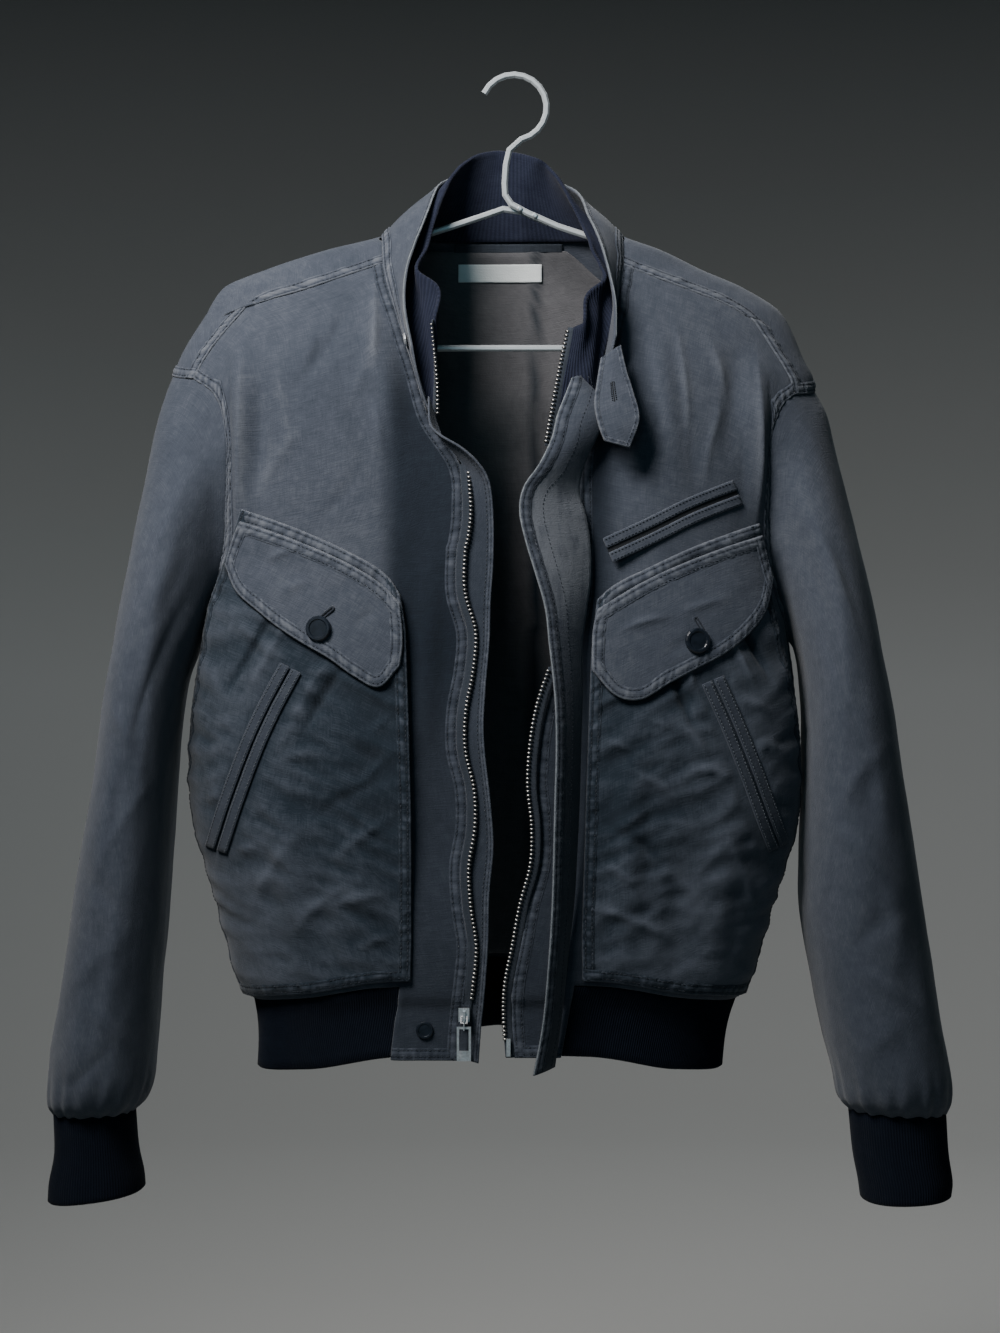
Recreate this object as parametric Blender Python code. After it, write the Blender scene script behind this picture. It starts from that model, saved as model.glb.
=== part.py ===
"""Bomber jacket hanging on a thin metal hanger.

Lengths are in millimetres, turned into metres where a mesh is made. A place is given by
x (the wearer's left is +X), y (the front is -Y) and drop, which is how far it lies below
the origin, the inner top of the hanger's hook. The jacket's outer face is one smooth
surface of rings, body(angle, drop): angle 0 is centre front, 90 the +X side, 180 the back.
Every panel is a region of that surface, and what lies on a panel is lifted off it.
"""
import math

import bpy
from mathutils import Vector

MM = 0.001
CLOTH = 1.6          # woven panel
THIN = 1.2           # zip tape, lining, label
RIB = 2.6            # rib knit
SEAM = 0.4           # between two pieces at a seam
LAY = 0.8            # between a panel and what lies on it
BEVEL = 0.7          # by which a wall's inner face is drawn in at its edges
SHORT_CELL = 0.2     # a short cell at an edge is drawn in by no more than this share of it

CENTRE_X = -13.0     # the jacket hangs a little off the hook
SIDE = 90.0          # angle of the side seam
HEM_SIDE = 697.0     # drop of the hem seam at the sides
BAND = 50.0          # height of the hem band

RIGHT, LEFT = "r", "l"

COLOURS = {
    "cloth": (0.105, 0.125, 0.155), "cloth_dark": (0.055, 0.07, 0.09),
    "rib": (0.018, 0.022, 0.032), "tape": (0.04, 0.05, 0.065), "lining": (0.05, 0.048, 0.05),
    "label": (0.14, 0.15, 0.15), "metal": (0.32, 0.33, 0.34), "hanger": (0.5, 0.52, 0.54),
    "button": (0.012, 0.014, 0.02),
}
METALS = ("metal", "hanger")

# The jacket's rings. Squareness 2 is an ellipse, and more than 2 has fuller corners.
# drop, half width right, half width left, front depth, back depth, squareness
RINGS = (
    (115, 78, 86, 10, 44, 2.0),
    (120, 87, 95, 18, 46, 1.95),
    (131, 130, 125, 27, 48, 1.8),
    (146, 176, 156, 35, 50, 1.7),
    (160, 208, 188, 43, 52, 1.7),
    (180, 221, 217, 51, 55, 1.8),
    (214, 241, 233, 62, 59, 2.0),
    (232, 246.5, 241, 66, 61, 2.1),
    (255, 239, 241, 70, 64, 2.25),
    (283, 228, 228, 74, 66, 2.4),
    (320, 220, 217, 77, 69, 2.5),
    (363, 215, 211, 80, 71, 2.5),
    (420, 222, 219, 84, 74, 2.5),
    (470, 227, 225, 86, 76, 2.5),
    (516, 229, 226, 87, 77, 2.5),
    (556, 226, 224, 87, 77, 2.5),
    (600, 215, 213, 86, 76, 2.5),
    (640, 204, 201, 84, 73, 2.5),
    (690, 190, 186, 80, 67, 2.55),
    (700, 184, 181, 76, 63, 2.6),
    (752, 182, 171, 74, 60, 2.6),
)

# Broad folds of the body, each a soft ridge (or a trough, where its height is below 0)
# face, x at its start, drop there, x at its end, drop there, half width, height
FOLDS = (
    ("front", -206, 190, -204, 380, 15, 4.5),
    ("front", -186, 215, -190, 330, 12, -3.5),
    ("front", -108, 150, -86, 300, 16, 4.0),
    ("front", -130, 240, -80, 350, 15, -3.0),
    ("front", -60, 340, -66, 520, 13, 3.0),
    ("front", -120, 560, -96, 680, 17, 3.0),
    ("front", -176, 520, -150, 680, 18, 3.5),
    ("front", -150, 600, -128, 690, 14, -3.0),
    ("front", 186, 205, 180, 360, 14, 4.5),
    ("front", 166, 200, 160, 300, 12, -3.0),
    ("front", 104, 190, 122, 330, 15, 3.5),
    ("front", 48, 430, 44, 680, 22, -2.0),
    ("front", 86, 480, 80, 680, 16, 3.5),
    ("front", 130, 560, 112, 690, 17, -3.0),
    ("front", 160, 540, 140, 690, 15, 3.0),
    ("back", -190, 230, -150, 420, 20, 4.0),
    ("back", -120, 260, -104, 520, 22, -3.5),
    ("back", -70, 400, -92, 660, 20, 3.5),
    ("back", -10, 250, -22, 560, 24, 3.0),
    ("back", 40, 430, 26, 650, 18, -3.5),
    ("back", 96, 300, 70, 600, 22, 3.5),
    ("back", 168, 240, 130, 450, 20, 4.0),
    ("back", -150, 520, -140, 680, 18, 3.0),
    ("back", 140, 520, 126, 680, 18, -3.0),
)

# The armhole seam, from the shoulder's top (share 1) round the front to the underarm.
# Station 1 is halfway between the first two rows.
# drop, share of the half width
ARMHOLES = {
    RIGHT: ((226, 1.0), (231, 0.922), (241, 0.872), (257, 0.860), (279, 0.876), (305, 0.902),
            (334, 0.928), (365, 0.955), (393, 0.981), (411, 0.995), (421, 1.0)),
    LEFT: ((238, 1.0), (243, 0.925), (251, 0.888), (264, 0.870), (283, 0.890), (308, 0.922),
           (336, 0.948), (366, 0.974), (396, 0.990), (415, 0.998), (426, 1.0)),
}
ARM_STEPS = 11       # stations from the top of an armhole to its bottom
YOKE_STATION = 2     # the yoke's seams meet the armhole at this station

# The yoke's front seam, from the armhole's station to the neck
# x, drop
YOKE_SEAMS = {
    RIGHT: ((-237, 221), (-232, 210), (-224, 197), (-211, 182), (-186, 172), (-160, 165),
            (-130, 155), (-98, 144)),
    LEFT: ((206, 230), (201, 216), (192, 201), (179, 187), (160, 175), (137, 166),
           (110, 156), (82, 145)),
}
YOKE_COLUMNS = 12    # cells along a shoulder, neck to armhole
BACK_COLUMNS = 18
BACK_SEAM_CENTRE = 212.0

# The free edges of the fronts: down the neck, then down the zip
# drop, x
FRONT_EDGES = {
    RIGHT: ((144, -98), (161, -95), (179, -89), (205, -81), (235, -71), (258, -64), (277, -57),
            (291, -45), (306, -38), (335, -38), (380, -44), (428, -34), (497, -43), (552, -34),
            (604, -40), (655, -34), (703, -39), (745, -42)),
    LEFT: ((145, 82), (166, 78), (205, 71), (228, 66), (251, 59), (273, 54), (303, 49),
           (369, 50), (406, 47), (435, 37), (464, 26), (500, 18), (538, 16), (578, 20),
           (618, 11), (662, 3), (692, -2), (745, 1)),
}
NECK_END = {RIGHT: 277.0, LEFT: 273.0}    # drop where the collars end
STRIP_BOTTOM = {RIGHT: 737.0, LEFT: 735.0}
STRIP_X = {RIGHT: (-84.0, -91.0), LEFT: (44.0, 34.0)}    # outer edge of the strip, top and bottom
STRIP_TOP = {RIGHT: 682.0, LEFT: 680.0}
FRONT_COLUMNS = 12
STRIP_COLUMNS = 2
STRIP_COLUMN = FRONT_COLUMNS - STRIP_COLUMNS
FRONT_ROWS_BELOW = 11    # rows below the underarm
FRONT_ROWS = ARM_STEPS - YOKE_STATION + FRONT_ROWS_BELOW


# ---------------------------------------------------------------- small helpers

def look_up(table, key):
    """The other columns of a table at a value of its first one, on a smooth curve."""
    last = len(table) - 2
    row = 0
    while row < last and key > table[row + 1][0]:
        row += 1
    first, second = table[row], table[row + 1]
    before = table[max(row - 1, 0)]
    after = table[min(row + 2, last + 1)]
    width = second[0] - first[0]
    share = min(max((key - first[0]) / width, 0.0), 1.0)
    found = []
    for column in range(1, len(first)):
        rise = (second[column] - first[column]) / width
        tilts = []
        for near, far in ((before, first), (second, after)):
            if far[0] == near[0]:
                tilts.append(rise)
                continue
            other = (far[column] - near[column]) / (far[0] - near[0])
            tilts.append(0.0 if other * rise <= 0 else 2 * other * rise / (other + rise))
        square, cube = share ** 2, share ** 3
        found.append(
            first[column] * (2 * cube - 3 * square + 1)
            + second[column] * (3 * square - 2 * cube)
            + tilts[0] * width * (cube - 2 * square + share)
            + tilts[1] * width * (cube - square)
        )
    return found


def along(points, count):
    """Points at count + 1 equal steps along a smooth curve through the given ones."""
    table = [(0.0,) + tuple(points[0])]
    for near, far in zip(points, points[1:]):
        table.append((table[-1][0] + math.dist(near, far),) + tuple(far))
    length = table[-1][0]
    return [tuple(look_up(table, length * step / count)) for step in range(count + 1)]


def mix(a, b, share):
    """Blend two numbers, or two rows of numbers."""
    if isinstance(a, (int, float)):
        return a + (b - a) * share
    return tuple(p + (q - p) * share for p, q in zip(a, b))


def place(x, y, drop):
    return Vector((x, y, -drop))


# ---------------------------------------------------------------- the jacket's surface

def body(angle, drop):
    """A point of the smooth outer face, before its folds."""
    right, left, front, back, square = look_up(RINGS, drop)
    across = math.sin(math.radians(angle))
    ahead = math.cos(math.radians(angle))
    scale = (abs(across) ** square + abs(ahead) ** square) ** (1 / square)
    wide = left if across > 0 else right
    deep = front if ahead > 0 else back
    return place(CENTRE_X + wide * across / scale, -deep * ahead / scale, drop)


def normal(angle, drop):
    """The direction straight out of the smooth face."""
    turn = body(angle + 0.5, drop) - body(angle - 0.5, drop)
    fall = body(angle, drop + 0.5) - body(angle, drop - 0.5)
    return fall.cross(turn).normalized()


def angle_at(x, drop, face="front"):
    """The angle at which the surface passes x, on the front or the back."""
    right, left, _, _, square = look_up(RINGS, drop)
    share = (x - CENTRE_X) / (left if x > CENTRE_X else right)
    return angle_of_share(share, square, face)


def angle_of_share(share, square, face="front"):
    share = min(max(share, -1.0), 1.0)
    ahead = (1 - abs(share) ** square) ** (1 / square)
    angle = math.degrees(math.atan2(share, ahead))
    if face == "front":
        return angle
    return -180 - angle if share < 0 else 180 - angle


def fold(start, end, point, half_width, height):
    """Height of one fold at a point, all in the same flat picture of the face."""
    run = (end[0] - start[0], end[1] - start[1])
    length = math.hypot(*run)
    step = ((point[0] - start[0]) * run[0] + (point[1] - start[1]) * run[1]) / length ** 2
    aside = abs((point[0] - start[0]) * run[1] - (point[1] - start[1]) * run[0]) / length
    if aside >= half_width or not 0 < step < 1:
        return 0.0
    return height * (1 - (aside / half_width) ** 2) ** 2 * math.sin(math.pi * step) ** 0.7


def relief(point, angle):
    """How far the folds lift the face at a point."""
    face = "front" if math.cos(math.radians(angle)) > 0 else "back"
    spot = (point.x, -point.z)
    total = 0.0
    for side, x0, drop0, x1, drop1, half_width, height in FOLDS:
        if side == face:
            total += fold((x0, drop0), (x1, drop1), spot, half_width, height)
    return total


def surface(angle, drop, lift=0.0):
    """A point of the jacket's outer face, lifted off it by so much."""
    point = body(angle, drop)
    return point + normal(angle, drop) * (relief(point, angle) + lift)


def on_front(x, drop, lift=0.0):
    return surface(angle_at(x, drop), drop, lift)


def hem_seam(angle):
    """Drop of the hem seam: lower at the sides than at the front strips and the back."""
    turn = abs((angle + 180) % 360 - 180)
    table = ((0, 681), (22, 683), (45, 694), (70, 697), (100, 697), (135, 689), (180, 674))
    return look_up(table, turn)[0]


# ---------------------------------------------------------------- making solids

def material(kind):
    made = bpy.data.materials.get(kind)
    if made:
        return made
    made = bpy.data.materials.new(kind)
    made.use_nodes = True
    shader = made.node_tree.nodes["Principled BSDF"]
    shader.inputs["Base Color"].default_value = (*COLOURS[kind], 1)
    shader.inputs["Metallic"].default_value = 1.0 if kind in METALS else 0.0
    shader.inputs["Roughness"].default_value = 0.35 if kind in METALS else 0.9
    made.diffuse_color = (*COLOURS[kind], 1)
    return made


def make(name, points, faces, kind):
    """One closed solid from points in millimetres."""
    mesh = bpy.data.meshes.new(name)
    mesh.from_pydata([point * MM for point in points], [], faces)
    mesh.materials.append(material(kind))
    mesh.shade_smooth()
    mesh.set_sharp_from_angle(angle=math.radians(35))
    piece = bpy.data.objects.new(name, mesh)
    bpy.context.scene.collection.objects.link(piece)
    return piece


def neighbours(line, j, wrap):
    """The points before and after a point of a row."""
    if wrap:
        return line[j - 1], line[(j + 1) % len(line)]
    return line[max(j - 1, 0)], line[min(j + 1, len(line) - 1)]


def grid_normals(grid, wrap):
    normals = []
    for i, row in enumerate(grid):
        above, below = grid[max(i - 1, 0)], grid[min(i + 1, len(grid) - 1)]
        line = []
        for j in range(len(row)):
            before, after = neighbours(row, j, wrap)
            line.append((below[j] - above[j]).cross(after - before).normalized())
        normals.append(line)
    return normals


def drawn_in(grid, gap, wrap):
    """Move the open edges of a grid inwards along the cloth."""
    moved = [list(line) for line in grid]
    last = len(grid[0]) - 1

    def draw(i, j, before, after, inner):
        tangent = (after - before).normalized()
        inward = inner - grid[i][j]
        inward -= tangent * inward.dot(tangent)
        step = min(gap, inward.length * SHORT_CELL)
        moved[i][j] = moved[i][j] + inward.normalized() * step

    for i, inner in ((0, 1), (len(grid) - 1, len(grid) - 2)):
        for j in range(last + 1):
            draw(i, j, *neighbours(grid[i], j, wrap), grid[inner][j])
    for j, inner in () if wrap else ((0, 1), (last, last - 1)):
        column = [line[j] for line in grid]
        for i in range(len(grid)):
            draw(i, j, *neighbours(column, i, False), grid[i][inner])
    return moved


def wall(name, grid, thickness, kind, wrap=False, kept=None, gap=SEAM / 2):
    """A cloth wall: the grid is its outer face, in rows that run down and columns that
    run to the viewer's right as seen from outside, and the wall goes inwards from it. Its
    inner face is a little smaller, so that two walls can meet at an angle."""
    inner = drawn_in(grid, gap + BEVEL, wrap)
    grid = drawn_in(grid, gap, wrap)
    rows, columns = len(grid), len(grid[0])
    normals = grid_normals(grid, wrap)
    number = {}
    points = []

    def vertex(i, j, side):
        key = (i, j % columns, side)
        if key not in number:
            number[key] = len(points)
            a, b = i, j % columns
            points.append(inner[a][b] - normals[a][b] * thickness if side else grid[a][b])
        return number[key]

    faces = []
    edges = set()
    for i in range(rows - 1):
        for j in range(columns if wrap else columns - 1):
            if kept is not None and not kept(i, j):
                continue
            ring = [(i, j), (i + 1, j), (i + 1, (j + 1) % columns), (i, (j + 1) % columns)]
            spots = [grid[a][b] for a, b in ring]
            if (spots[0] - spots[2]).length > (spots[1] - spots[3]).length:
                ring = ring[1:] + ring[:1]
            for a, b, c in (ring[:3], (ring[0], ring[2], ring[3])):
                faces.append([vertex(*a, 0), vertex(*b, 0), vertex(*c, 0)])
                faces.append([vertex(*c, 1), vertex(*b, 1), vertex(*a, 1)])
            for edge in zip(ring, ring[1:] + ring[:1]):
                if edge[::-1] in edges:
                    edges.discard(edge[::-1])
                else:
                    edges.add(edge)
    for start, end in sorted(edges):
        faces.append([vertex(*end, 0), vertex(*start, 0), vertex(*start, 1), vertex(*end, 1)])
    return make(name, points, faces, kind)


EDGE_FADE = 8


def coons(left, right, top, bottom):
    """Fill a four-sided region of (angle, drop) from its edges. The sides share corners,
    and the curves of the top and bottom edges soon fade out away from them."""
    rows, columns = len(left) - 1, len(top) - 1
    filled = []
    for i in range(rows + 1):
        t = i / rows
        line = []
        for j in range(columns + 1):
            s = j / columns
            spot = list(mix(left[i], right[i], s))
            for edge, fade in ((top, (1 - t) ** EDGE_FADE), (bottom, t ** EDGE_FADE)):
                straight = mix(edge[0], edge[-1], s)
                for k in range(2):
                    spot[k] += (edge[j][k] - straight[k]) * fade
            line.append(tuple(spot))
        filled.append(line)
    return filled


def lifted(region, lift=0.0):
    """The outer points of a region of (angle, drop), lifted off the surface."""
    return [[surface(angle, drop, lift) for angle, drop in line] for line in region]


def tube(name, path, half, kind, sides=8, turn=0.5, side=Vector((0, 1, 0))):
    """A bar along a path. With 8 sides and turn 0.5 it is a square bar with broad corners."""
    points = []
    for i, centre in enumerate(path):
        run = (path[min(i + 1, len(path) - 1)] - path[max(i - 1, 0)]).normalized()
        across = run.cross(side).normalized()
        over = across.cross(run).normalized()
        for k in range(sides):
            angle = 2 * math.pi * (k + turn) / sides
            points.append(centre + (across * math.cos(angle) + over * math.sin(angle)) * half)
    faces = []
    for i in range(len(path) - 1):
        for k in range(sides):
            near, far = i * sides + k, i * sides + (k + 1) % sides
            faces.append([near, near + sides, far + sides, far])
    faces.append(list(range(sides)))
    faces.append(list(reversed(range(len(points) - sides, len(points)))))
    piece = make(name, points, faces, kind)
    return face_outwards(piece)


def face_outwards(piece):
    """Turn a closed solid's faces round if they point in."""
    mesh = piece.data
    mesh.calc_loop_triangles()
    volume = 0.0
    for triangle in mesh.loop_triangles:
        a, b, c = (mesh.vertices[k].co for k in triangle.vertices)
        volume += a.dot(b.cross(c))
    if volume < 0:
        mesh.flip_normals()
    return piece


def turned(name, centre, axis, profile, kind, sides=16):
    """A solid of revolution: the profile's rows are (radius, height) from base to top."""
    axis = axis.normalized()
    across = axis.cross(Vector((0, 0, 1)))
    across = (across if across.length > 0.1 else Vector((1, 0, 0))).normalized()
    over = axis.cross(across)
    points, rings = [], []
    for radius, height in profile:
        ring = []
        for k in range(sides):
            angle = 2 * math.pi * k / sides
            ring.append(len(points))
            spoke = across * math.cos(angle) + over * math.sin(angle)
            points.append(centre + axis * height + spoke * radius)
        rings.append(ring)
    faces = [list(reversed(rings[0])), rings[-1]]
    for low, high in zip(rings, rings[1:]):
        for k in range(sides):
            nxt = (k + 1) % sides
            faces.append([low[k], low[nxt], high[nxt], high[k]])
    return face_outwards(make(name, points, faces, kind))


def frame_plate(name, outline, hole, axis, thickness, kind):
    """A flat open frame: an outline and a hole with as many corners, both in one plane."""
    count = len(outline)
    back = axis.normalized() * thickness
    points = outline + hole + [p + back for p in outline] + [p + back for p in hole]
    faces = []
    for k in range(count):
        n = (k + 1) % count
        o, h, ob, hb = k, count + k, 2 * count + k, 3 * count + k
        on, hn, obn, hbn = n, count + n, 2 * count + n, 3 * count + n
        faces += [[o, on, hn, h], [ob, hb, hbn, obn], [o, ob, obn, on], [h, hn, hbn, hb]]
    return face_outwards(make(name, points, faces, kind))


# ---------------------------------------------------------------- panels

def arm_angle(side, station, face="front"):
    """(angle, drop) of an armhole station."""
    if station == 1:
        return mix(arm_angle(side, 0, face), arm_angle(side, 2, face), 0.5)
    drop, share = ARMHOLES[side][station - 1 if station else 0]
    square = look_up(RINGS, drop)[-1]
    sign = -1 if side == RIGHT else 1
    return angle_of_share(sign * share, square, face), drop


def yoke_seam(side):
    """The yoke's front seam in (angle, drop), from the armhole to the neck."""
    start = arm_angle(side, YOKE_STATION)
    x = body(*start).x
    sign = -1 if side == RIGHT else 1
    table = []
    for x, drop in along(((x, start[1]),) + YOKE_SEAMS[side], 4 * YOKE_COLUMNS):
        table.append((-sign * angle_at(x, drop), drop))
    first, last = table[0][0], table[-1][0]
    seam = []
    for j in range(YOKE_COLUMNS + 1):
        turn = mix(first, last, j / YOKE_COLUMNS)
        seam.append((-sign * turn, look_up(table, turn)[0]))
    seam[0] = start
    return seam


def front_region(side):
    """A front panel in (angle, drop): from the armhole and side seam to its zip edge, with
    the woven strip that runs on past the hem seam. Its columns run towards the zip."""
    sign = -1 if side == RIGHT else 1
    strip_angle = angle_at(STRIP_X[side][0], STRIP_TOP[side])
    outer = [arm_angle(side, station) for station in range(YOKE_STATION, ARM_STEPS + 1)]
    under = outer[-1][1]
    for step in range(1, FRONT_ROWS_BELOW + 1):
        outer.append((sign * SIDE, mix(under, HEM_SIDE, step / FRONT_ROWS_BELOW)))
    top = yoke_seam(side)
    span = outer[-1][1] - outer[0][1]
    inner = []
    for _, drop in outer:
        lower = mix(top[-1][1], STRIP_TOP[side], (drop - outer[0][1]) / span)
        inner.append((angle_at(look_up(FRONT_EDGES[side], lower)[0], lower), lower))
    bottom = []
    for j in range(FRONT_COLUMNS + 1):
        if j <= STRIP_COLUMN:
            angle = mix(sign * SIDE, strip_angle, j / STRIP_COLUMN)
        else:
            angle = mix(strip_angle, inner[-1][0], (j - STRIP_COLUMN) / STRIP_COLUMNS)
        bottom.append((angle, mix(hem_seam(angle), STRIP_TOP[side], (j / FRONT_COLUMNS) ** 4)))
    inner[-1] = bottom[-1]
    region = coons(outer, inner, top, bottom)
    for step in (0.45, 1.0):
        drop = mix(STRIP_TOP[side], STRIP_BOTTOM[side], step)
        left = angle_at(mix(*STRIP_X[side], step), drop)
        right = angle_at(look_up(FRONT_EDGES[side], drop)[0], drop)
        line = [(angle, low + BAND * step) for angle, low in bottom]
        for j in range(STRIP_COLUMN, FRONT_COLUMNS + 1):
            line[j] = (mix(left, right, (j - STRIP_COLUMN) / STRIP_COLUMNS), drop)
        region.append(line)
    return region


def make_front(side):
    grid = lifted(front_region(side))
    if side == LEFT:
        grid = [line[::-1] for line in grid]

    def kept(i, j):
        column = j if side == RIGHT else FRONT_COLUMNS - 1 - j
        return i < FRONT_ROWS or column >= STRIP_COLUMN

    return wall("front_" + side, grid, CLOTH, "cloth", kept=kept)


def back_seam(share):
    """The yoke's back seam in (angle, drop), share 0 at the right armhole, 1 at the left."""
    start = arm_angle(RIGHT, YOKE_STATION, "back")
    end = arm_angle(LEFT, YOKE_STATION, "back")
    angle = mix(start[0], end[0] - 360, share)
    side_drop = mix(start[1], end[1], share)
    return angle, mix(BACK_SEAM_CENTRE, side_drop, abs(2 * share - 1) ** 2)


def back_region():
    """The back panel in (angle, drop), under the yoke, between the armholes and the side
    seams. Its columns run from the right side round to the left."""
    edges = {}
    for side, sign, full in ((RIGHT, -1, 0), (LEFT, 1, -360)):
        line = []
        for station in range(YOKE_STATION, ARM_STEPS + 1):
            angle, drop = arm_angle(side, station, "back")
            line.append((angle + full, drop))
        under = line[-1][1]
        for step in range(1, FRONT_ROWS_BELOW + 1):
            line.append((sign * SIDE + full, mix(under, HEM_SIDE, step / FRONT_ROWS_BELOW)))
        edges[side] = line
    top = [back_seam(j / BACK_COLUMNS) for j in range(BACK_COLUMNS + 1)]
    bottom = []
    for j in range(BACK_COLUMNS + 1):
        angle = mix(-SIDE, SIDE - 360, j / BACK_COLUMNS)
        bottom.append((angle, hem_seam(angle)))
    edges[RIGHT][-1], edges[LEFT][-1] = bottom[0], bottom[-1]
    return coons(edges[RIGHT], edges[LEFT], top, bottom)


def make_back():
    return wall("back", [line[::-1] for line in lifted(back_region())], CLOTH, "cloth")


def shoulder_line(side, share, behind):
    """The ridge of a shoulder in (angle, drop), or a line behind it, from neck to armhole."""
    sign = -1 if side == RIGHT else 1
    neck_drop = 120.0
    end = ARMHOLES[side][0][0]
    ridge = []
    for step in range(41):
        drop = mix(neck_drop, end, step / 40)
        ridge.append((body(sign * SIDE, drop).x, drop))
    _, drop = along(ridge, 200)[round(share * 200)]
    if not behind:
        return sign * SIDE, drop
    last = arm_angle(side, YOKE_STATION, "back")
    swing = mix(sign * 128, last[0], share)
    return swing, drop + mix(-1.0, last[1] - end, share)


def pulled_to_neck(line, start, end, weight):
    """Bring a column's first point onto the straight neck edge, and its others less so."""
    x, drop = mix((body(*start).x, start[1]), (body(*end).x, end[1]), weight)
    angle = angle_at(x, drop)
    shift = (angle - line[0][0], drop - line[0][1])
    moved = []
    for i, (turn, fall) in enumerate(line):
        fade = (1 - i / YOKE_COLUMNS) ** 3
        moved.append((turn + shift[0] * fade, fall + shift[1] * fade))
    return moved


def yoke_columns():
    """The yoke in (angle, drop): columns fan out from the neck seam, from the right front
    seam over the shoulder, round the back and over to the left front seam."""
    fans = []
    for side in (RIGHT, LEFT):
        full = 0 if side == RIGHT else -360
        seam = yoke_seam(side)[::-1]
        steps = [i / YOKE_COLUMNS for i in range(YOKE_COLUMNS + 1)]
        ridge = [shoulder_line(side, step, False) for step in steps]
        rear = [shoulder_line(side, step, True) for step in steps]
        fan = []
        for start, end, weights in ((seam, ridge, (0, 0.25, 0.5, 0.75)),
                                    (ridge, rear, (0, 0.25, 0.5, 0.75, 1))):
            for weight in weights:
                line = [mix(p, q, weight) for p, q in zip(start, end)]
                if start is seam:
                    line = pulled_to_neck(line, start[0], end[0], weight)
                fan.append([(angle + full, drop) for angle, drop in line])
        fans.append(fan)
    right, left = fans
    rear_right, rear_left = right[-1], left[-1]
    middle = []
    for j in range(1, BACK_COLUMNS):
        share = j / BACK_COLUMNS
        foot = back_seam(share)
        edge = abs(2 * share - 1) ** 1.5
        near = rear_right if share < 0.5 else rear_left
        neck_angle = mix(rear_right[0][0], rear_left[0][0], share)
        line = []
        for i in range(YOKE_COLUMNS + 1):
            t = i / YOKE_COLUMNS
            rise = (near[i][1] - near[0][1]) / (near[-1][1] - near[0][1])
            line.append((mix(neck_angle, foot[0], t), mix(near[0][1], foot[1], mix(t, rise, edge))))
        middle.append(line)
    return right + middle + left[::-1]


def make_yoke():
    columns = yoke_columns()
    grid = []
    for i in range(YOKE_COLUMNS + 1):
        grid.append([surface(*line[i]) for line in reversed(columns)])
    return wall("yoke", grid, CLOTH, "cloth")


def make_hem_band():
    """The rib band, from the right strip round the back to the left strip."""
    start = angle_at(STRIP_X[RIGHT][0], STRIP_TOP[RIGHT])
    end = angle_at(STRIP_X[LEFT][0], STRIP_TOP[LEFT])
    foot_start = angle_at(STRIP_X[RIGHT][1], STRIP_BOTTOM[RIGHT])
    foot_end = angle_at(STRIP_X[LEFT][1], STRIP_BOTTOM[LEFT])
    columns = 40
    grid = []
    for t in (0.0, 0.5, 1.0):
        line = []
        for j in range(columns + 1):
            share = j / columns
            angle = mix(mix(start, end - 360, share), mix(foot_start, foot_end - 360, share), t)
            inset = mix(-1.0, -2.5, math.sin(math.pi * t))
            away = min(share, 1 - share) * columns
            angle += math.copysign(1, share - 0.5) * 0.35 * (1 - min(away, 1))
            line.append(surface(angle, hem_seam(angle) + 1.2 + BAND * t, inset))
        grid.append(line[::-1])
    return wall("hem_band", grid, RIB, "rib")


# ---------------------------------------------------------------- sleeves

# Sections of a sleeve: its outer and inner lines as seen from the front, and its half depth
# outer x, outer drop, inner x, inner drop, half depth
SLEEVES = {
    RIGHT: ((-265, 243, -237.5, 427, 47), (-273, 273, -240, 436, 54), (-280, 309, -243, 446, 61),
            (-288, 346, -247, 457, 67), (-296, 389, -250, 473, 72), (-304, 435, -252.5, 492, 75),
            (-311, 482, -255, 516, 76), (-318, 533, -257.5, 549, 76), (-327, 587, -260, 593, 74),
            (-335, 640, -263, 641, 71), (-343, 693, -268, 693, 68), (-350, 735, -271, 735, 65),
            (-353, 761, -274, 760, 62), (-353, 777, -280, 775, 56), (-349, 785, -288, 783, 46)),
    LEFT: ((237, 255, 211.5, 433, 47), (244, 281, 214, 442, 54), (252, 313, 216, 451, 61),
           (261, 351, 217.5, 464, 67), (270, 393, 218.5, 479, 72), (278, 435, 219, 499, 75),
           (287, 482, 219, 526, 76), (295, 537, 218, 560, 76), (303, 587, 217, 598, 74),
           (311, 638, 218, 638, 71), (318, 682, 225, 679, 68), (325, 725, 234, 723, 65),
           (331, 758, 242, 755, 62), (331, 775, 246, 773, 56), (327.5, 785, 254.5, 782, 46)),
}
CUFFS = {
    RIGHT: ((-348.7, 785, -288.3, 783, 45.7), (-348, 815, -286, 812, 46),
            (-352, 837, -282, 831, 48), (-353, 851, -281, 842, 49)),
    LEFT: ((327.2, 785, 254.8, 782, 45.7), (329, 815, 258, 815, 46),
           (332, 836, 262, 836, 48), (331, 847, 264, 850, 49)),
}
SEAM_SHAPE_KEPT = (1.0, 0.8, 0.55, 0.32, 0.15, 0.05)

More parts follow.
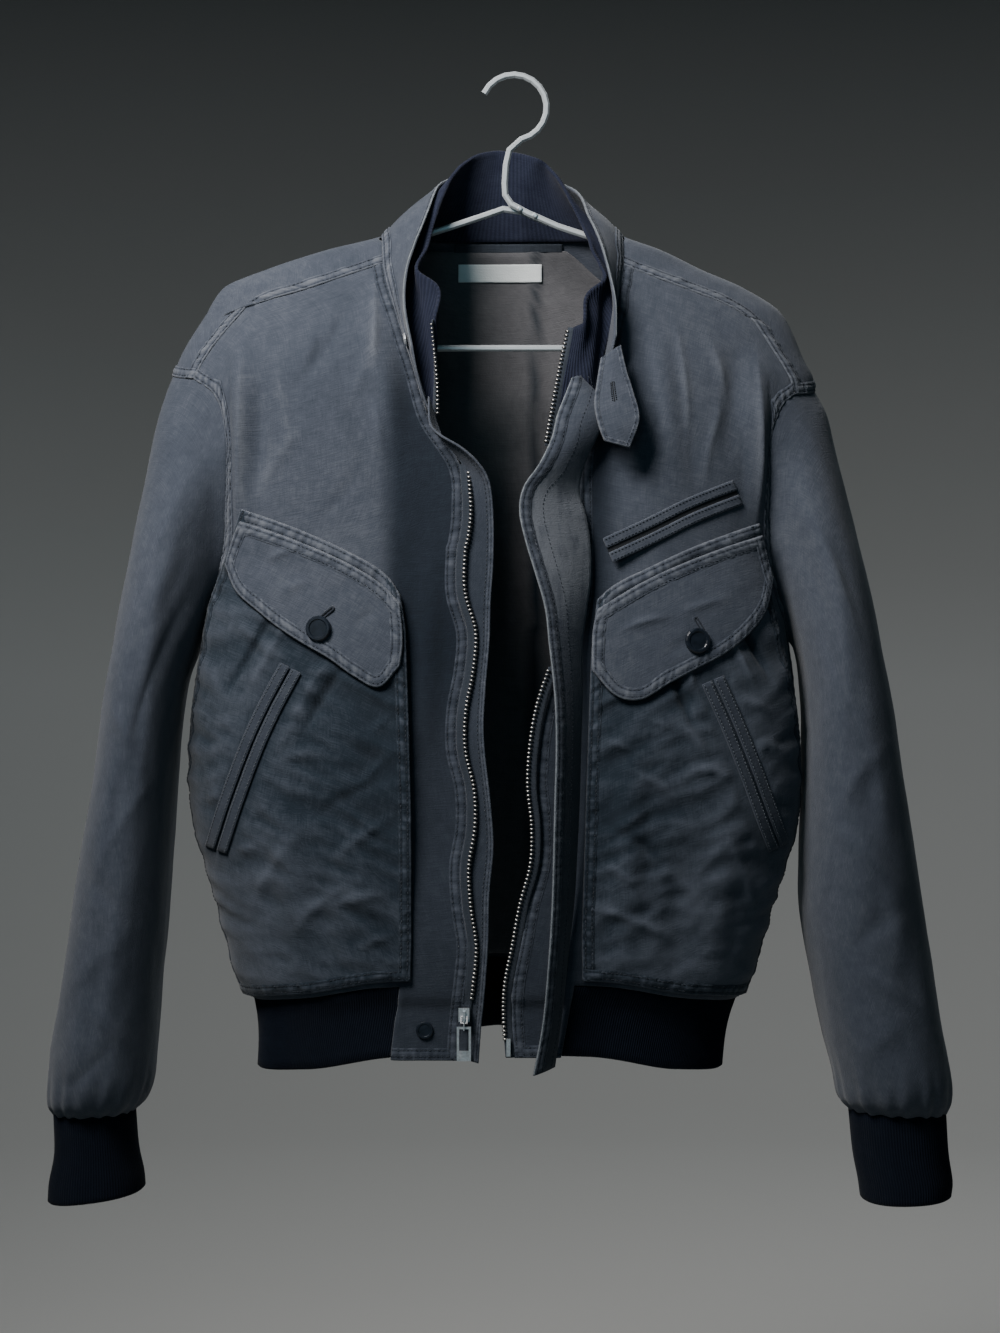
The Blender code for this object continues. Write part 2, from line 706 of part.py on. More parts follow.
# Broad folds of a sleeve: angle round it (0 outer, 90 front) and drop at each end
# angle, drop, angle, drop, half width, height
SLEEVE_FOLDS = {
    RIGHT: ((60, 300, 110, 480, 15, 3.5), (120, 470, 60, 600, 14, -3.5), (40, 560, 120, 660, 15, 4.0),
            (60, 640, 110, 740, 13, -3.5), (110, 660, 50, 760, 12, 3.5),
            (250, 330, 290, 520, 16, 3.5), (240, 560, 300, 680, 15, 3.5), (300, 650, 250, 750, 14, -3.0)),
    LEFT: ((70, 320, 100, 500, 15, 3.5), (50, 500, 120, 590, 14, -3.5), (110, 560, 50, 660, 15, 4.0),
           (50, 640, 100, 740, 13, -3.5), (80, 680, 130, 765, 12, 3.5),
           (250, 340, 290, 520, 16, 3.5), (300, 560, 240, 680, 15, 3.5), (250, 650, 300, 750, 14, -3.0)),
}
AROUND = 2 * ARM_STEPS


def armhole_loop(side):
    """The armhole seam's points, from its top round the front and back up."""
    loop = []
    for station in range(ARM_STEPS + 1):
        loop.append(surface(*arm_angle(side, station)))
    for station in range(ARM_STEPS - 1, 0, -1):
        loop.append(surface(*arm_angle(side, station, "back")))
    return loop


def section_point(outer, inner, depth, angle, square=2.3):
    """A point of a rounded section between its outer and inner points."""
    across = math.cos(math.radians(angle))
    ahead = math.sin(math.radians(angle))
    scale = (abs(across) ** square + abs(ahead) ** square) ** (1 / square)
    middle = (outer + inner) / 2
    return middle + (outer - inner) / 2 * across / scale + Vector((0, -depth, 0)) * ahead / scale


def make_sleeve(side):
    """A sleeve: its sections fan out from the armhole seam and end in the gathers."""
    loop = armhole_loop(side)
    top, under = loop[0], loop[ARM_STEPS]
    run = top - under
    inward = Vector((1 if side == RIGHT else -1, 0, 0))
    local = []
    for point in loop:
        share = (point - under).dot(run) / run.length_squared
        off = point - under - run * share
        local.append((share, off.y, off.dot(inward)))
    grid = [loop]
    for number, (ox, odrop, ix, idrop, depth) in enumerate(SLEEVES[side]):
        outer, inner = place(ox, 0, odrop), place(ix, 0, idrop)
        weight = SEAM_SHAPE_KEPT[number + 1] if number + 1 < len(SEAM_SHAPE_KEPT) else 0.0
        line = []
        for k in range(AROUND):
            angle = 360 * k / AROUND
            plain = section_point(outer, inner, depth, angle)
            share, aside, bulge = local[k]
            seam_like = inner + (outer - inner) * share
            seam_like += Vector((0, aside * depth / 46, 0)) + inward * bulge
            point = plain.lerp(seam_like, weight)
            drop = -point.z
            lift = 0.0
            radius = 60.0
            for a0, d0, a1, d1, half_width, height in SLEEVE_FOLDS[side]:
                spot = (math.radians(angle) * radius, drop)
                start = (math.radians(a0) * radius, d0)
                end = (math.radians(a1) * radius, d1)
                lift += fold(start, end, spot, half_width, height)
            if 0 < number < len(SLEEVES[side]) - 1:
                out = (point - (outer + inner) / 2)
                out.z = 0
                point += out.normalized() * lift
            line.append(point)
        grid.append(line)
    if side == LEFT:
        grid = [line[::-1] for line in grid]
    return wall("sleeve_" + side, grid, CLOTH, "cloth", wrap=True, gap=SEAM * 1.5)


def make_cuff(side):
    """A rib cuff, a short tube below the gathers."""
    around = AROUND
    grid = []
    for ox, odrop, ix, idrop, depth in CUFFS[side]:
        outer, inner = place(ox, 0, odrop), place(ix, 0, idrop)
        line = [section_point(outer, inner, depth, 360 * k / around) for k in range(around)]
        grid.append(line if side == RIGHT else line[::-1])
    return wall("cuff_" + side, grid, RIB, "rib", wrap=True)


# ---------------------------------------------------------------- front closure

# Rows of the wind flap behind the right zip: place beside the zip and place of its free edge
# x, drop, lift, free x, free drop, free lift
WIND_FLAP = (
    (-57, 272, 2.2, -63, 251, 9), (-52, 283, 2.2, -62, 270, 12), (-45.5, 290, 2.2, -55, 279, 14),
    (-39, 299, 1.8, -40, 288, 15), (-36, 309, 0.4, -28, 298, 13), (-36, 322, -1.2, -19, 312, 9),
    (-37, 342, -2.0, -16, 336, 4), (-41, 372, -2.0, -16, 370, 3), (-41, 400, -2.0, -18, 400, 3),
    (-33, 430, -2.0, -19, 430, 4), (-37, 466, -2.0, -22, 466, 4), (-42, 500, -2.0, -23, 500, 5),
    (-33, 548, -2.0, -18, 548, 4), (-35, 580, -2.0, -16, 580, 3), (-38, 612, -2.0, -19, 614, 3),
    (-33, 650, -2.0, -20, 652, 3), (-36, 690, -2.0, -23, 692, 3), (-38, 708, -2.0, -25, 711, 3),
    (-40, 736, -2.0, -27, 739, 2),
)
# Rows of the storm flap over the left zip: its free edge and its seam
# free x, free drop, free lift, seam x, drop
STORM_FLAP = (
    (42, 238, 15, 48, 237, 14), (37, 251, 16, 62, 252, 13), (31, 267, 18, 66, 266, 12),
    (27, 283, 20, 60, 280, 9), (18, 302, 25, 52, 298, 4), (7, 319, 28, 48, 318, 0.3),
    (4, 336, 28, 53, 338, 0.1), (8, 357, 28, 56, 360, 0.1), (15, 381, 28, 56, 384, 0.1),
    (22, 406, 27, 53, 408, 0.1), (25, 432, 27, 50, 434, 0.1), (29, 470, 26, 50, 470, 0.1),
    (30, 505, 26, 49, 505, 0.1), (29, 545, 26, 48, 545, 0.1), (28, 587, 26, 46, 587, 0.1),
    (27, 620, 25, 44, 620, 0.1), (25, 655, 24, 40, 655, 0.1), (21, 695, 23, 36, 695, 0.1),
    (14, 745, 22, 30, 742, 0.1),
)
TAPE_WIDTH = 6.5
ZIP_TOP = {RIGHT: 325.0, LEFT: 440.0}


def strip(ends, columns, bulge):
    """Rows of points between the pairs of ends, raised in the middle by the bulge."""
    grid = []
    for start, end in ends:
        line = []
        for j in range(columns + 1):
            share = j / columns
            raise_by = bulge * math.sin(math.pi * share)
            line.append(start.lerp(end, share) + Vector((0, -raise_by, 0)))
        grid.append(line)
    return grid


def make_wind_flap():
    """The wind flap dips behind the tape and comes forward again to its free edge."""
    grid = []
    for x, drop, lift, free_x, free_drop, free_lift in WIND_FLAP:
        line = []
        for share in (0, 0.33, 0.66, 1):
            spot = mix((x + 0.5, drop), (free_x, free_drop), share)
            line.append(on_front(*spot, mix(lift, free_lift, share ** 1.8)))
        grid.append(line)
    return wall("placket_r", grid, THIN, "cloth")


def make_storm_flap():
    ends = []
    for free_x, free_drop, free_lift, x, drop, lift in STORM_FLAP:
        ends.append((on_front(free_x, free_drop, free_lift), on_front(x, drop, lift + CLOTH)))
    return wall("placket_l", strip(ends, 4, 3.0), CLOTH, "cloth")


def make_tape(side):
    """A zip tape beside a front's edge, which has the same stations."""
    sign = 1 if side == RIGHT else -1
    grid = []
    for line in front_region(side):
        angle, drop = line[-1]
        if drop < ZIP_TOP[side]:
            continue
        x = body(angle, drop).x
        pair = [on_front(x + sign * 0.1, drop, 0.4), on_front(x + sign * TAPE_WIDTH, drop, 1.2)]
        grid.append(pair if side == RIGHT else pair[::-1])
    return wall("zip_" + side, grid, 0.9, "tape")


def block(name, centre, size, kind):
    half = [value / 2 for value in size]
    points = []
    for sx in (-1, 1):
        for sy in (-1, 1):
            for sz in (-1, 1):
                points.append(centre + Vector((sx * half[0], sy * half[1], sz * half[2])))
    faces = [[0, 1, 3, 2], [4, 6, 7, 5], [0, 4, 5, 1], [2, 3, 7, 6], [0, 2, 6, 4], [1, 5, 7, 3]]
    return face_outwards(make(name, points, faces, kind))


# ---------------------------------------------------------------- zip hardware

SLIDER_DROP = 703.0
SLIDER = (8.0, 3.2, 10.0)        # width, depth, height
SLIDER_LIFT = 3.3
# Each loop hangs in front of the slider: out and down of its top and foot, half width,
# bar, thickness
CROWN = (3.7, 6.9, 3.0, 0.8, 1.8)      # nearest, furthest, half height, bar, width
RING_A = ((5.0, 0.7), (8.9, 5.6), 2.6, 0.8, 0.8)
RING_B = (7.2, 11.2, 3.5, 10.6, 0.7, 0.8)      # nearest, furthest, top, foot, bar, width
PULL = ((9.3, 7.9), (9.3, 33.0), 5.2, 1.7, 1.1)
BOX = (8.0, 2.6, 6.0)
PIN = (3.0, 2.4, 13.0)


def link(name, seat, top, foot, half_width, bar, thickness):
    """A flat open link between two heights, hanging in front of its seat."""
    def spot(x, out_down):
        return seat + Vector((x, -out_down[0], -out_down[1]))

    length = math.dist(top, foot)
    upper = mix(top, foot, bar / length)
    lower = mix(foot, top, bar / length)
    inner = half_width - bar
    outline = [spot(-half_width, top), spot(half_width, top), spot(half_width, foot),
               spot(-half_width, foot)]
    hole = [spot(-inner, upper), spot(inner, upper), spot(inner, lower), spot(-inner, lower)]
    run = Vector((0, -(foot[0] - top[0]), -(foot[1] - top[1])))
    axis = run.cross(Vector((1, 0, 0))).normalized()
    shift = axis * (-thickness / 2)
    return frame_plate(name, [p + shift for p in outline], [p + shift for p in hole],
                       axis, thickness, "metal")


def side_loop(name, seat, near, far, top, foot, bar, width):
    """An upright loop whose hole faces sideways."""
    start = seat + Vector((-width / 2, 0, 0))
    loops = []
    for inset in (0.0, bar):
        corners = ((near + inset, top + inset), (far - inset, top + inset),
                   (far - inset, foot - inset), (near + inset, foot - inset))
        loops.append([start + Vector((0, -out, -down)) for out, down in corners])
    return frame_plate(name, *loops, Vector((1, 0, 0)), width, "metal")


def make_slider():
    """The slider at the foot of the right tape, its crown and two rings, and the pull."""
    x = look_up(FRONT_EDGES[RIGHT], SLIDER_DROP)[0] + 2.0
    seat = on_front(x, SLIDER_DROP, SLIDER_LIFT)
    block("zip_slider", seat + Vector((0, -SLIDER[1] / 2, 0)), SLIDER, "metal")
    near, far, half, bar, width = CROWN
    side_loop("zip_crown", seat, near, far, -half, half, bar, width)
    link("zip_ring_a", seat, *RING_A)
    side_loop("zip_ring_b", seat, *RING_B)
    pull = link("zip_pull", seat, *PULL)
    top, _, _, bar, _ = PULL
    hinge = seat + Vector((0, -top[0], -top[1] - bar / 2))
    set_origin(pull, hinge)
    for name, side, size, lift in (("zip_box", RIGHT, BOX, 1.5), ("zip_pin", LEFT, PIN, 1.9)):
        sign = 1 if side == RIGHT else -1
        drop = STRIP_BOTTOM[side] - size[2] / 2 - 1.0
        spot = look_up(FRONT_EDGES[side], drop)[0] + sign * 4.2
        block(name, on_front(spot, drop, lift) + Vector((0, -size[1] / 2, 0)), size, "metal")


def set_origin(piece, spot):
    """Give a piece its origin at a spot without moving its form."""
    shift = spot * MM
    for vertex in piece.data.vertices:
        vertex.co -= shift
    piece.location = shift


# ---------------------------------------------------------------- collars

# The woven collar's top edge: share of the way along the neck seam, from the right front
# share, x, y, drop
COLLAR_TOP = (
    (0.0, -76, -78, 212), (0.04, -80, -75, 193), (0.08, -82, -68, 174), (0.137, -80, -57, 150),
    (0.19, -73, -44, 128), (0.225, -68, -34, 114), (0.26, -64, -22, 101), (0.295, -61, -8, 90),
    (0.335, -57, 7, 80), (0.40, -40, 31, 69), (0.45, -26, 40, 64), (0.505, -11, 45, 61),
    (0.55, 12, 42, 65), (0.60, 32, 30, 74), (0.665, 49, 8, 86), (0.70, 53, -6, 95),
    (0.735, 55, -18, 104), (0.77, 60, -28, 116), (0.81, 65, -40, 130), (0.86, 70, -54, 150),
    (0.92, 74, -65, 172), (0.96, 76, -71, 188), (1.0, 75, -76, 205),
)
# The knit collar's rim
KNIT_RIM = (
    (0.0, -60, -74, 192), (0.04, -52, -68, 172), (0.09, -66, -60, 163), (0.137, -72, -49, 148),
    (0.19, -66, -36, 128), (0.225, -61, -26, 112), (0.26, -57, -16, 98), (0.30, -53, -5, 86),
    (0.335, -48, 5, 74), (0.39, -37, 19, 60), (0.44, -25, 29, 53), (0.505, -9, 34, 51),
    (0.55, 8, 31, 54), (0.60, 22, 21, 60), (0.665, 36, 5, 77), (0.70, 43, -4, 92),
    (0.735, 50, -11, 108), (0.77, 56, -22, 122), (0.81, 62, -33, 138), (0.865, 67, -45, 155),
    (0.92, 61, -58, 169), (0.96, 51, -65, 176), (1.0, 52, -71, 192),
)
KNIT_END = ((44, -66, 197), (28, -71, 285))     # the knit's left front edge, top and foot
COLLAR_RISE = 0.3      # the collars start this far above the neck seam, and the seam gap
NECK_ZIP = 5.0
NECK_SKIPPED = 3       # the collars use every third station across the back of the neck


def neck_seam():
    """The neck seam's points at the panels' own stations, from the right front round the
    back to the left, each with its share of the way."""
    fronts = []
    for side, full in ((RIGHT, 0), (LEFT, -360)):
        edge = [line[-1] for line in front_region(side) if line[-1][1] < NECK_END[side] + 6]
        fronts.append([(angle + full, drop) for angle, drop in edge])
    columns = [line[0] for line in yoke_columns()]
    count = (len(columns) - BACK_COLUMNS + 1) // 2
    middle = columns[count:len(columns) - count][NECK_SKIPPED - 1::NECK_SKIPPED]
    path = fronts[0][::-1] + columns[1:count] + middle + columns[-count:-1] + fronts[1]
    points = [surface(*spot) for spot in path]
    length = [0.0]
    for near, far in zip(points, points[1:]):
        length.append(length[-1] + (far - near).length)
    return [(point, so_far / length[-1]) for point, so_far in zip(points, length)]


def make_collars():
    """The woven stand collar, and the knit collar that stands inside it."""
    woven, knit = [], []
    for foot, share in neck_seam():
        top = place_row(look_up(COLLAR_TOP, share))
        rim = place_row(look_up(KNIT_RIM, share))
        rise = (top - foot).normalized()
        out = foot - Vector((CENTRE_X, -14, foot.z))
        out -= rise * out.dot(rise)
        out.normalize()
        foot = foot + rise * COLLAR_RISE
        line = []
        for t in (1.0, 0.66, 0.33, 0.0):
            line.append(foot.lerp(top, t) + out * 2.5 * math.sin(math.pi * t))
        woven.append(line)
        inner = foot - out * (CLOTH + 1.0) + rise * 0.4
        line = []
        for t in (1.0, 0.75, 0.5, 0.25, 0.0):
            line.append(inner.lerp(rim, t) - out * 1.5 * math.sin(math.pi * t))
        knit.append(line)
    top, foot = (place_row(row) for row in KNIT_END)
    knit.append([foot.lerp(top, t) for t in (1.0, 0.75, 0.5, 0.25, 0.0)])
    wall("collar", [list(line)[::-1] for line in zip(*woven)], CLOTH, "cloth")
    knit_rows = [list(line)[::-1] for line in zip(*knit)]
    wall("knit_collar", knit_rows, RIB, "rib")
    make_neck_zips(knit_rows)
    return woven


def place_row(row):
    return place(row[0], row[1], row[2])


def make_neck_zips(rows):
    """Narrow tapes that carry the zip on up the knit collar's two front edges."""
    for side, edge, inner in ((LEFT, 0, 1), (RIGHT, -1, -2)):
        grid = []
        column = [line[edge] for line in rows]
        for i, line in enumerate(rows):
            before, after = neighbours(column, i, False)
            run = (after - before).normalized()
            away = line[edge] - line[inner]
            away = (away - run * away.dot(run)).normalized()
            near = line[edge] + away * SEAM
            pair = [near + away * NECK_ZIP, near]
            grid.append(pair if side == LEFT else pair[::-1])
        wall("neck_zip_" + side, grid, 1.0, "tape")


# The tab at the collar's left end
# left x, drop, right x, drop, y
THROAT_TAB = (
    (64, 220, 78, 211, -75.9), (61, 238, 82, 230, -82), (59, 255, 87, 247, -87),
    (62, 271, 91, 266, -91), (66, 282, 84, 287, -92),
)


def make_throat_tab():
    ends = []
    for left_x, left_drop, right_x, right_drop, y in THROAT_TAB:
        ends.append((place(left_x, y, left_drop), place(right_x, y, right_drop)))
    return wall("throat_tab", strip(ends, 2, 1.0), CLOTH, "cloth")


# ---------------------------------------------------------------- pockets

# Outlines of the patches and flaps, as seen from the front
# outer edge and inner edge, top to bottom: x, drop; top edge, outer to inner: x, drop
PATCHES = {
    RIGHT: {"outer": ((-200, 331), (-209, 357), (-217, 379), (-225, 404)),
            "inner": ((-84, 395), (-81, 413), (-78, 486), (-76, 581), (-76, 655), (-77, 675)),
            "top": ((-200, 331), (-158, 347), (-121, 364), (-95, 380), (-84, 395))},
    LEFT: {"outer": ((180, 341), (184, 358), (187, 379), (190, 402)),
           "inner": ((61, 399), (57, 435), (55, 486), (52, 581), (50, 655), (51, 671)),
           "top": ((180, 341), (136, 358), (99, 375), (72, 389), (61, 399))},
}
FLAPS = {
    RIGHT: {"outer": ((-197, 350), (-205, 360), (-210, 372)),
            "inner": ((-84, 400), (-82, 428), (-84, 447)),
            "top": ((-197, 350), (-165, 354), (-130, 366), (-100, 383), (-84, 400)),
            "bottom": ((-210, 372), (-205, 387), (-188, 405), (-165, 423), (-135, 441), (-99, 462),
                       (-84, 447))},
    LEFT: {"outer": ((180, 352), (184, 366), (187, 383)),
           "inner": ((61, 403), (57, 428), (57, 450)),
           "top": ((180, 352), (136, 369), (92, 388), (61, 403)),
           "bottom": ((187, 383), (184, 400), (172, 420), (153, 437), (121, 454), (83, 473),
                      (57, 450))},
}
PATCH_SIDE = 83.0        # angle where a patch ends, near the side seam
PATCH_FOOT = 5.0         # a patch ends this far above the hem seam
PATCH_FULLNESS = 4.0
PATCH_COLUMNS, PATCH_ROWS = 10, 12
FLAP_COLUMNS, FLAP_ROWS = 8, 3
# The hand pockets' slits, top to bottom: x, drop
HAND_SLITS = {
    RIGHT: ((-163, 449), (-178, 478), (-190, 505), (-203, 540), (-217, 582)),
    LEFT: ((144, 458), (157, 488), (171, 524), (184, 560), (192, 580)),
}
CHEST_SLIT = ((69, 362), (101, 347), (131, 332), (165, 318))
LIP = 7.0
SLIT = 1.2
# x, drop, radius
BUTTONS = {
    "button_r": (-142, 420, 9.5), "button_l": (132, 429, 9.5), "button_hem": (-66, 715, 6.5),
}


def patch_lift(side, angle, drop):
    """How far a patch's outer face stands off the front: fuller in its middle."""
    inner, outer = 17.0, PATCH_SIDE
    across = (abs(angle) - inner) / (outer - inner)
    top = mix(400, 335, min(max(across, 0), 1))
    down = (drop - top) / (690 - top)
    across, down = min(max(across, 0), 1), min(max(down, 0), 1)
    full = max(math.sin(math.pi * across) * math.sin(math.pi * down), 0) ** 0.8
    return LAY + CLOTH + 0.4 + 1.0 * across ** 2 + PATCH_FULLNESS * full


def spots(points, count):
    """(angle, drop) at equal steps along a line of (x, drop) on the front."""
    return [(angle_at(x, drop), drop) for x, drop in along(points, count)]


def make_patch(side):
    sign = -1 if side == RIGHT else 1
    shape = PATCHES[side]
    outer = spots(shape["outer"], 4)
    foot = hem_seam(PATCH_SIDE) - PATCH_FOOT
    for step in range(1, PATCH_ROWS - 3):
        share = step / (PATCH_ROWS - 4)
        drop = mix(outer[4][1], foot, share)
        angle = mix(abs(outer[4][0]), PATCH_SIDE, min(1, share * 2) ** 1.5)
        outer.append((sign * angle, drop))
    inner = spots(shape["inner"], PATCH_ROWS)
    top = spots(shape["top"], PATCH_COLUMNS)
    bottom = []
    for j in range(PATCH_COLUMNS + 1):
        angle = mix(outer[-1][0], inner[-1][0], j / PATCH_COLUMNS)
        bottom.append((angle, hem_seam(angle) - PATCH_FOOT))
    inner[-1], outer[0], inner[0] = bottom[-1], top[0], top[-1]
    region = coons(outer, inner, top, bottom)
    grid = [[surface(a, d, patch_lift(side, a, d)) for a, d in line] for line in region]
    if side == LEFT:
        grid = [line[::-1] for line in grid]
    return wall("patch_" + side, grid, CLOTH, "cloth_dark")


def flap_lift(side, angle, drop, share_down):
    return patch_lift(side, angle, drop) + LAY + CLOTH + 1.5 * share_down


def make_flap(side):
    shape = FLAPS[side]
    top = spots(shape["top"], FLAP_COLUMNS)
    bottom = spots(shape["bottom"], FLAP_COLUMNS)
    outer = spots(shape["outer"], FLAP_ROWS)
    inner = spots(shape["inner"], FLAP_ROWS)
    outer[0], outer[-1], inner[0], inner[-1] = top[0], bottom[0], top[-1], bottom[-1]
    region = coons(outer, inner, top, bottom)
    grid = []
    for i, line in enumerate(region):
        share = i / FLAP_ROWS
        grid.append([surface(a, d, flap_lift(side, a, d, share)) for a, d in line])
    if side == LEFT:
        grid = [line[::-1] for line in grid]
    return wall("flap_" + side, grid, CLOTH, "cloth")


def make_lip(name, slit, near, far, lift, rows=7):
    """A pocket's lip: a strip beside its slit, between two distances from it."""
    path = along(slit, rows)
    grid = []
    for i, (x, drop) in enumerate(path):
        before, after = path[max(i - 1, 0)], path[min(i + 1, rows)]
        run = (after[0] - before[0], after[1] - before[1])
        length = math.hypot(*run)
        line = []
        for aside in (near, far):
            spot_x = x + aside * run[1] / length
            spot_drop = drop - aside * run[0] / length
            angle = angle_at(spot_x, spot_drop)
            line.append(surface(angle, spot_drop, lift(angle, spot_drop)))
        grid.append(line)
    return wall(name, grid, 1.3, "cloth")


def make_lips():
    for side in (RIGHT, LEFT):
        def lift(angle, drop):
            return patch_lift(side, angle, drop) + LAY + 1.3

        inner_sign = 1 if side == RIGHT else -1
        for name, sign in (("front", inner_sign), ("back", -inner_sign)):
            near, far = sorted((sign * SLIT, sign * (SLIT + LIP)))
            make_lip(f"welt_{side}_{name}", HAND_SLITS[side], near, far, lift)
    near, far = SLIT + 1, SLIT + LIP + 1
    make_chest_lip("upper", -far, -near, LAY + 1.8)
    make_chest_lip("lower", near, far, LAY + 1.3)


def make_chest_lip(name, near, far, lift):
    """A lip above or below the chest slit, which runs up to the viewer's right."""
    path = along(CHEST_SLIT, 6)
    grid = []
    for aside in (near, far):
        line = []
        for x, drop in path:
            line.append(on_front(x + aside * 0.4, drop + aside * 0.92, lift))
        grid.append(line)
    return wall("chest_welt_" + name, grid, 1.3, "cloth")


def make_buttons():
    profile = ((1.0, 0.0), (1.0, 0.22), (0.9, 0.33), (0.74, 0.33), (0.66, 0.25))
    for name, (x, drop, radius) in BUTTONS.items():
        angle = angle_at(x, drop)
        lift = 0.4
        if name != "button_hem":
            side = name[-1]
            lift += flap_lift(side, angle, drop, 1.0)
        rows = [(r * radius, h * radius) for r, h in profile]
        turned(name, surface(angle, drop, lift), normal(angle, drop), rows, "button")


def make_stud(columns):
    """The snap on the woven collar's right end."""
    column = columns[1]
    spot = column[1].lerp(column[2], 0.5)
    along_seam = columns[2][1] - columns[0][1]
    down = column[2] - column[1]
    out = along_seam.cross(down).normalized()
    if out.dot(spot - Vector((CENTRE_X, -14, spot.z))) < 0:
        out = -out
    profile = ((5.0, 0.0), (5.0, 1.0), (4.2, 1.8), (3.0, 1.8), (2.5, 1.2))
    turned("stud_collar", spot + out * 1.1, out, profile, "metal")


# ---------------------------------------------------------------- inside the back

LINING_LIFT = -(CLOTH + 0.8)
LINING_COLUMNS = (4, 14)       # it covers the back panel from this column to that one
LINING_FOOT = 3.0              # it ends this far above the hem seam
NECK_TAPE = (-46, 38, 120.5, 126.5)       # x from, x to, drop from, drop to
LABEL = (-43, 22, 136, 149)


def back_patch(name, x_from, x_to, drop_from, drop_to, lift, columns, thickness, kind):
    grid = []
    for drop in (drop_from, drop_to):
        line = []
        for j in range(columns + 1):
            x = mix(x_from, x_to, j / columns)
            line.append(surface(angle_at(x, drop, "back"), drop, lift))
        grid.append(line[::-1])
    return wall(name, grid, thickness, kind)


def make_inside():
    """The lining that shows inside the back, the tape at the neck, and the blank label."""
    first, last = LINING_COLUMNS
    columns = yoke_columns()
    before = (len(columns) - BACK_COLUMNS - 1) // 2
    region = []
    for i in range(1, YOKE_COLUMNS, 2):
        region.append([columns[before + j][i] for j in range(first, last + 1)])
    region += [line[first:last + 1] for line in back_region()]
    region[-1] = [(angle, drop - LINING_FOOT) for angle, drop in region[-1]]
    grid = [line[::-1] for line in lifted(region, LINING_LIFT)]
    wall("lining_back", grid, THIN, "lining")
    x_from, x_to, drop_from, drop_to = NECK_TAPE
    back_patch("neck_tape", x_from, x_to, drop_from, drop_to, LINING_LIFT, 6, THIN, "tape")
    x_from, x_to, drop_from, drop_to = LABEL
    lift = LINING_LIFT - THIN - 0.7
    back_patch("label", x_from, x_to, drop_from, drop_to, lift, 5, 0.7, "label")


# ---------------------------------------------------------------- hanger

BAR = 2.4                # half the hanger's square bar
HOOK_RADIUS = 24.9       # of the hook's centre line
HOOK_FROM, HOOK_TO = 155, -77
# The hook bar's centre line below its arc, and out along the left shoulder: x, drop
HOOK_RUN = (
    (-3.5, 55), (-6, 66), (-7, 80), (-6.6, 89), (-2, 96), (10, 102.5), (34, 113), (60, 121.5),
    (85, 129.5), (112, 138.5), (140, 152), (160, 161.5), (176, 170), (186, 180),
)
# The other bar: from its cut end beside the hook bar, out along the right shoulder, round
# its end, and back along the bottom: x, drop, y
BAR_RUN = (
    (26, 109.5, 5.2), (6, 101, 5.2), (-8, 99, 5.2), (-24, 104.5, 5.2), (-50, 113.5, 3), (-75, 121.5, 1),
    (-100, 127.5, 0), (-143, 137, 0), (-175, 147.5, 0), (-198, 156.5, 0), (-212, 164.5, 0),
    (-220, 176, 0), (-217, 191, 0), (-204, 202, 0), (-185, 205.5, 0), (0, 205.5, 0),
    (160, 205.5, 0), (178, 202, 0), (187, 193, 0),
)
RIVETS = {"rivet_a": (4.5, 99.6), "rivet_b": (16, 104.8)}


def make_hanger():
    """Two square bars riveted together below the hook."""
    path = []
    steps = 14
    for step in range(steps + 1):
        turn = math.radians(mix(HOOK_FROM, HOOK_TO, step / steps))
        x, rise = HOOK_RADIUS * math.cos(turn), HOOK_RADIUS * math.sin(turn)
        path.append(place(x, 0, HOOK_RADIUS - BAR - rise))
    path += [place(x, 0, drop) for x, drop in HOOK_RUN]
    corner = BAR / math.cos(math.radians(22.5))
    tube("hanger_hook", path, corner, "hanger")
    tube("hanger_bar", [place(x, y, drop) for x, drop, y in BAR_RUN], corner, "hanger")
    for name, (x, drop) in RIVETS.items():
        profile = ((2.0, 0.0), (2.0, 0.5), (1.2, 1.0))
        turned(name, place(x, -BAR - 0.3, drop), Vector((0, -1, 0)), profile, "metal", sides=10)


# ---------------------------------------------------------------- build

def clear():
    for thing in list(bpy.data.objects):
        bpy.data.objects.remove(thing, do_unlink=True)


def build():
    clear()
    make_yoke()
    make_back()
    for side in (RIGHT, LEFT):
        make_front(side)
        make_sleeve(side)
        make_cuff(side)
        make_tape(side)
        make_patch(side)
        make_flap(side)
    make_hem_band()
    make_lips()
    make_buttons()
    make_stud(make_collars())
    make_throat_tab()
    make_wind_flap()
    make_storm_flap()
    make_slider()
    make_inside()
    make_hanger()


build()
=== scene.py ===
"""Looks of a bomber jacket that hangs on a thin metal hanger, built round its CAD frame.

Lengths are in millimetres and turned into metres where a mesh is made. A place is given
by x, y and drop, which is how far it lies below the origin, the inner top of the hook.
The jacket's outer face is the same smooth surface of rings as in the CAD, body(angle,
drop), with its panels refined and given the finer creases, seams and sewing.
Grids of points are arrays of rows that run down and columns that run to the viewer's
right, as seen from outside.
"""
import math

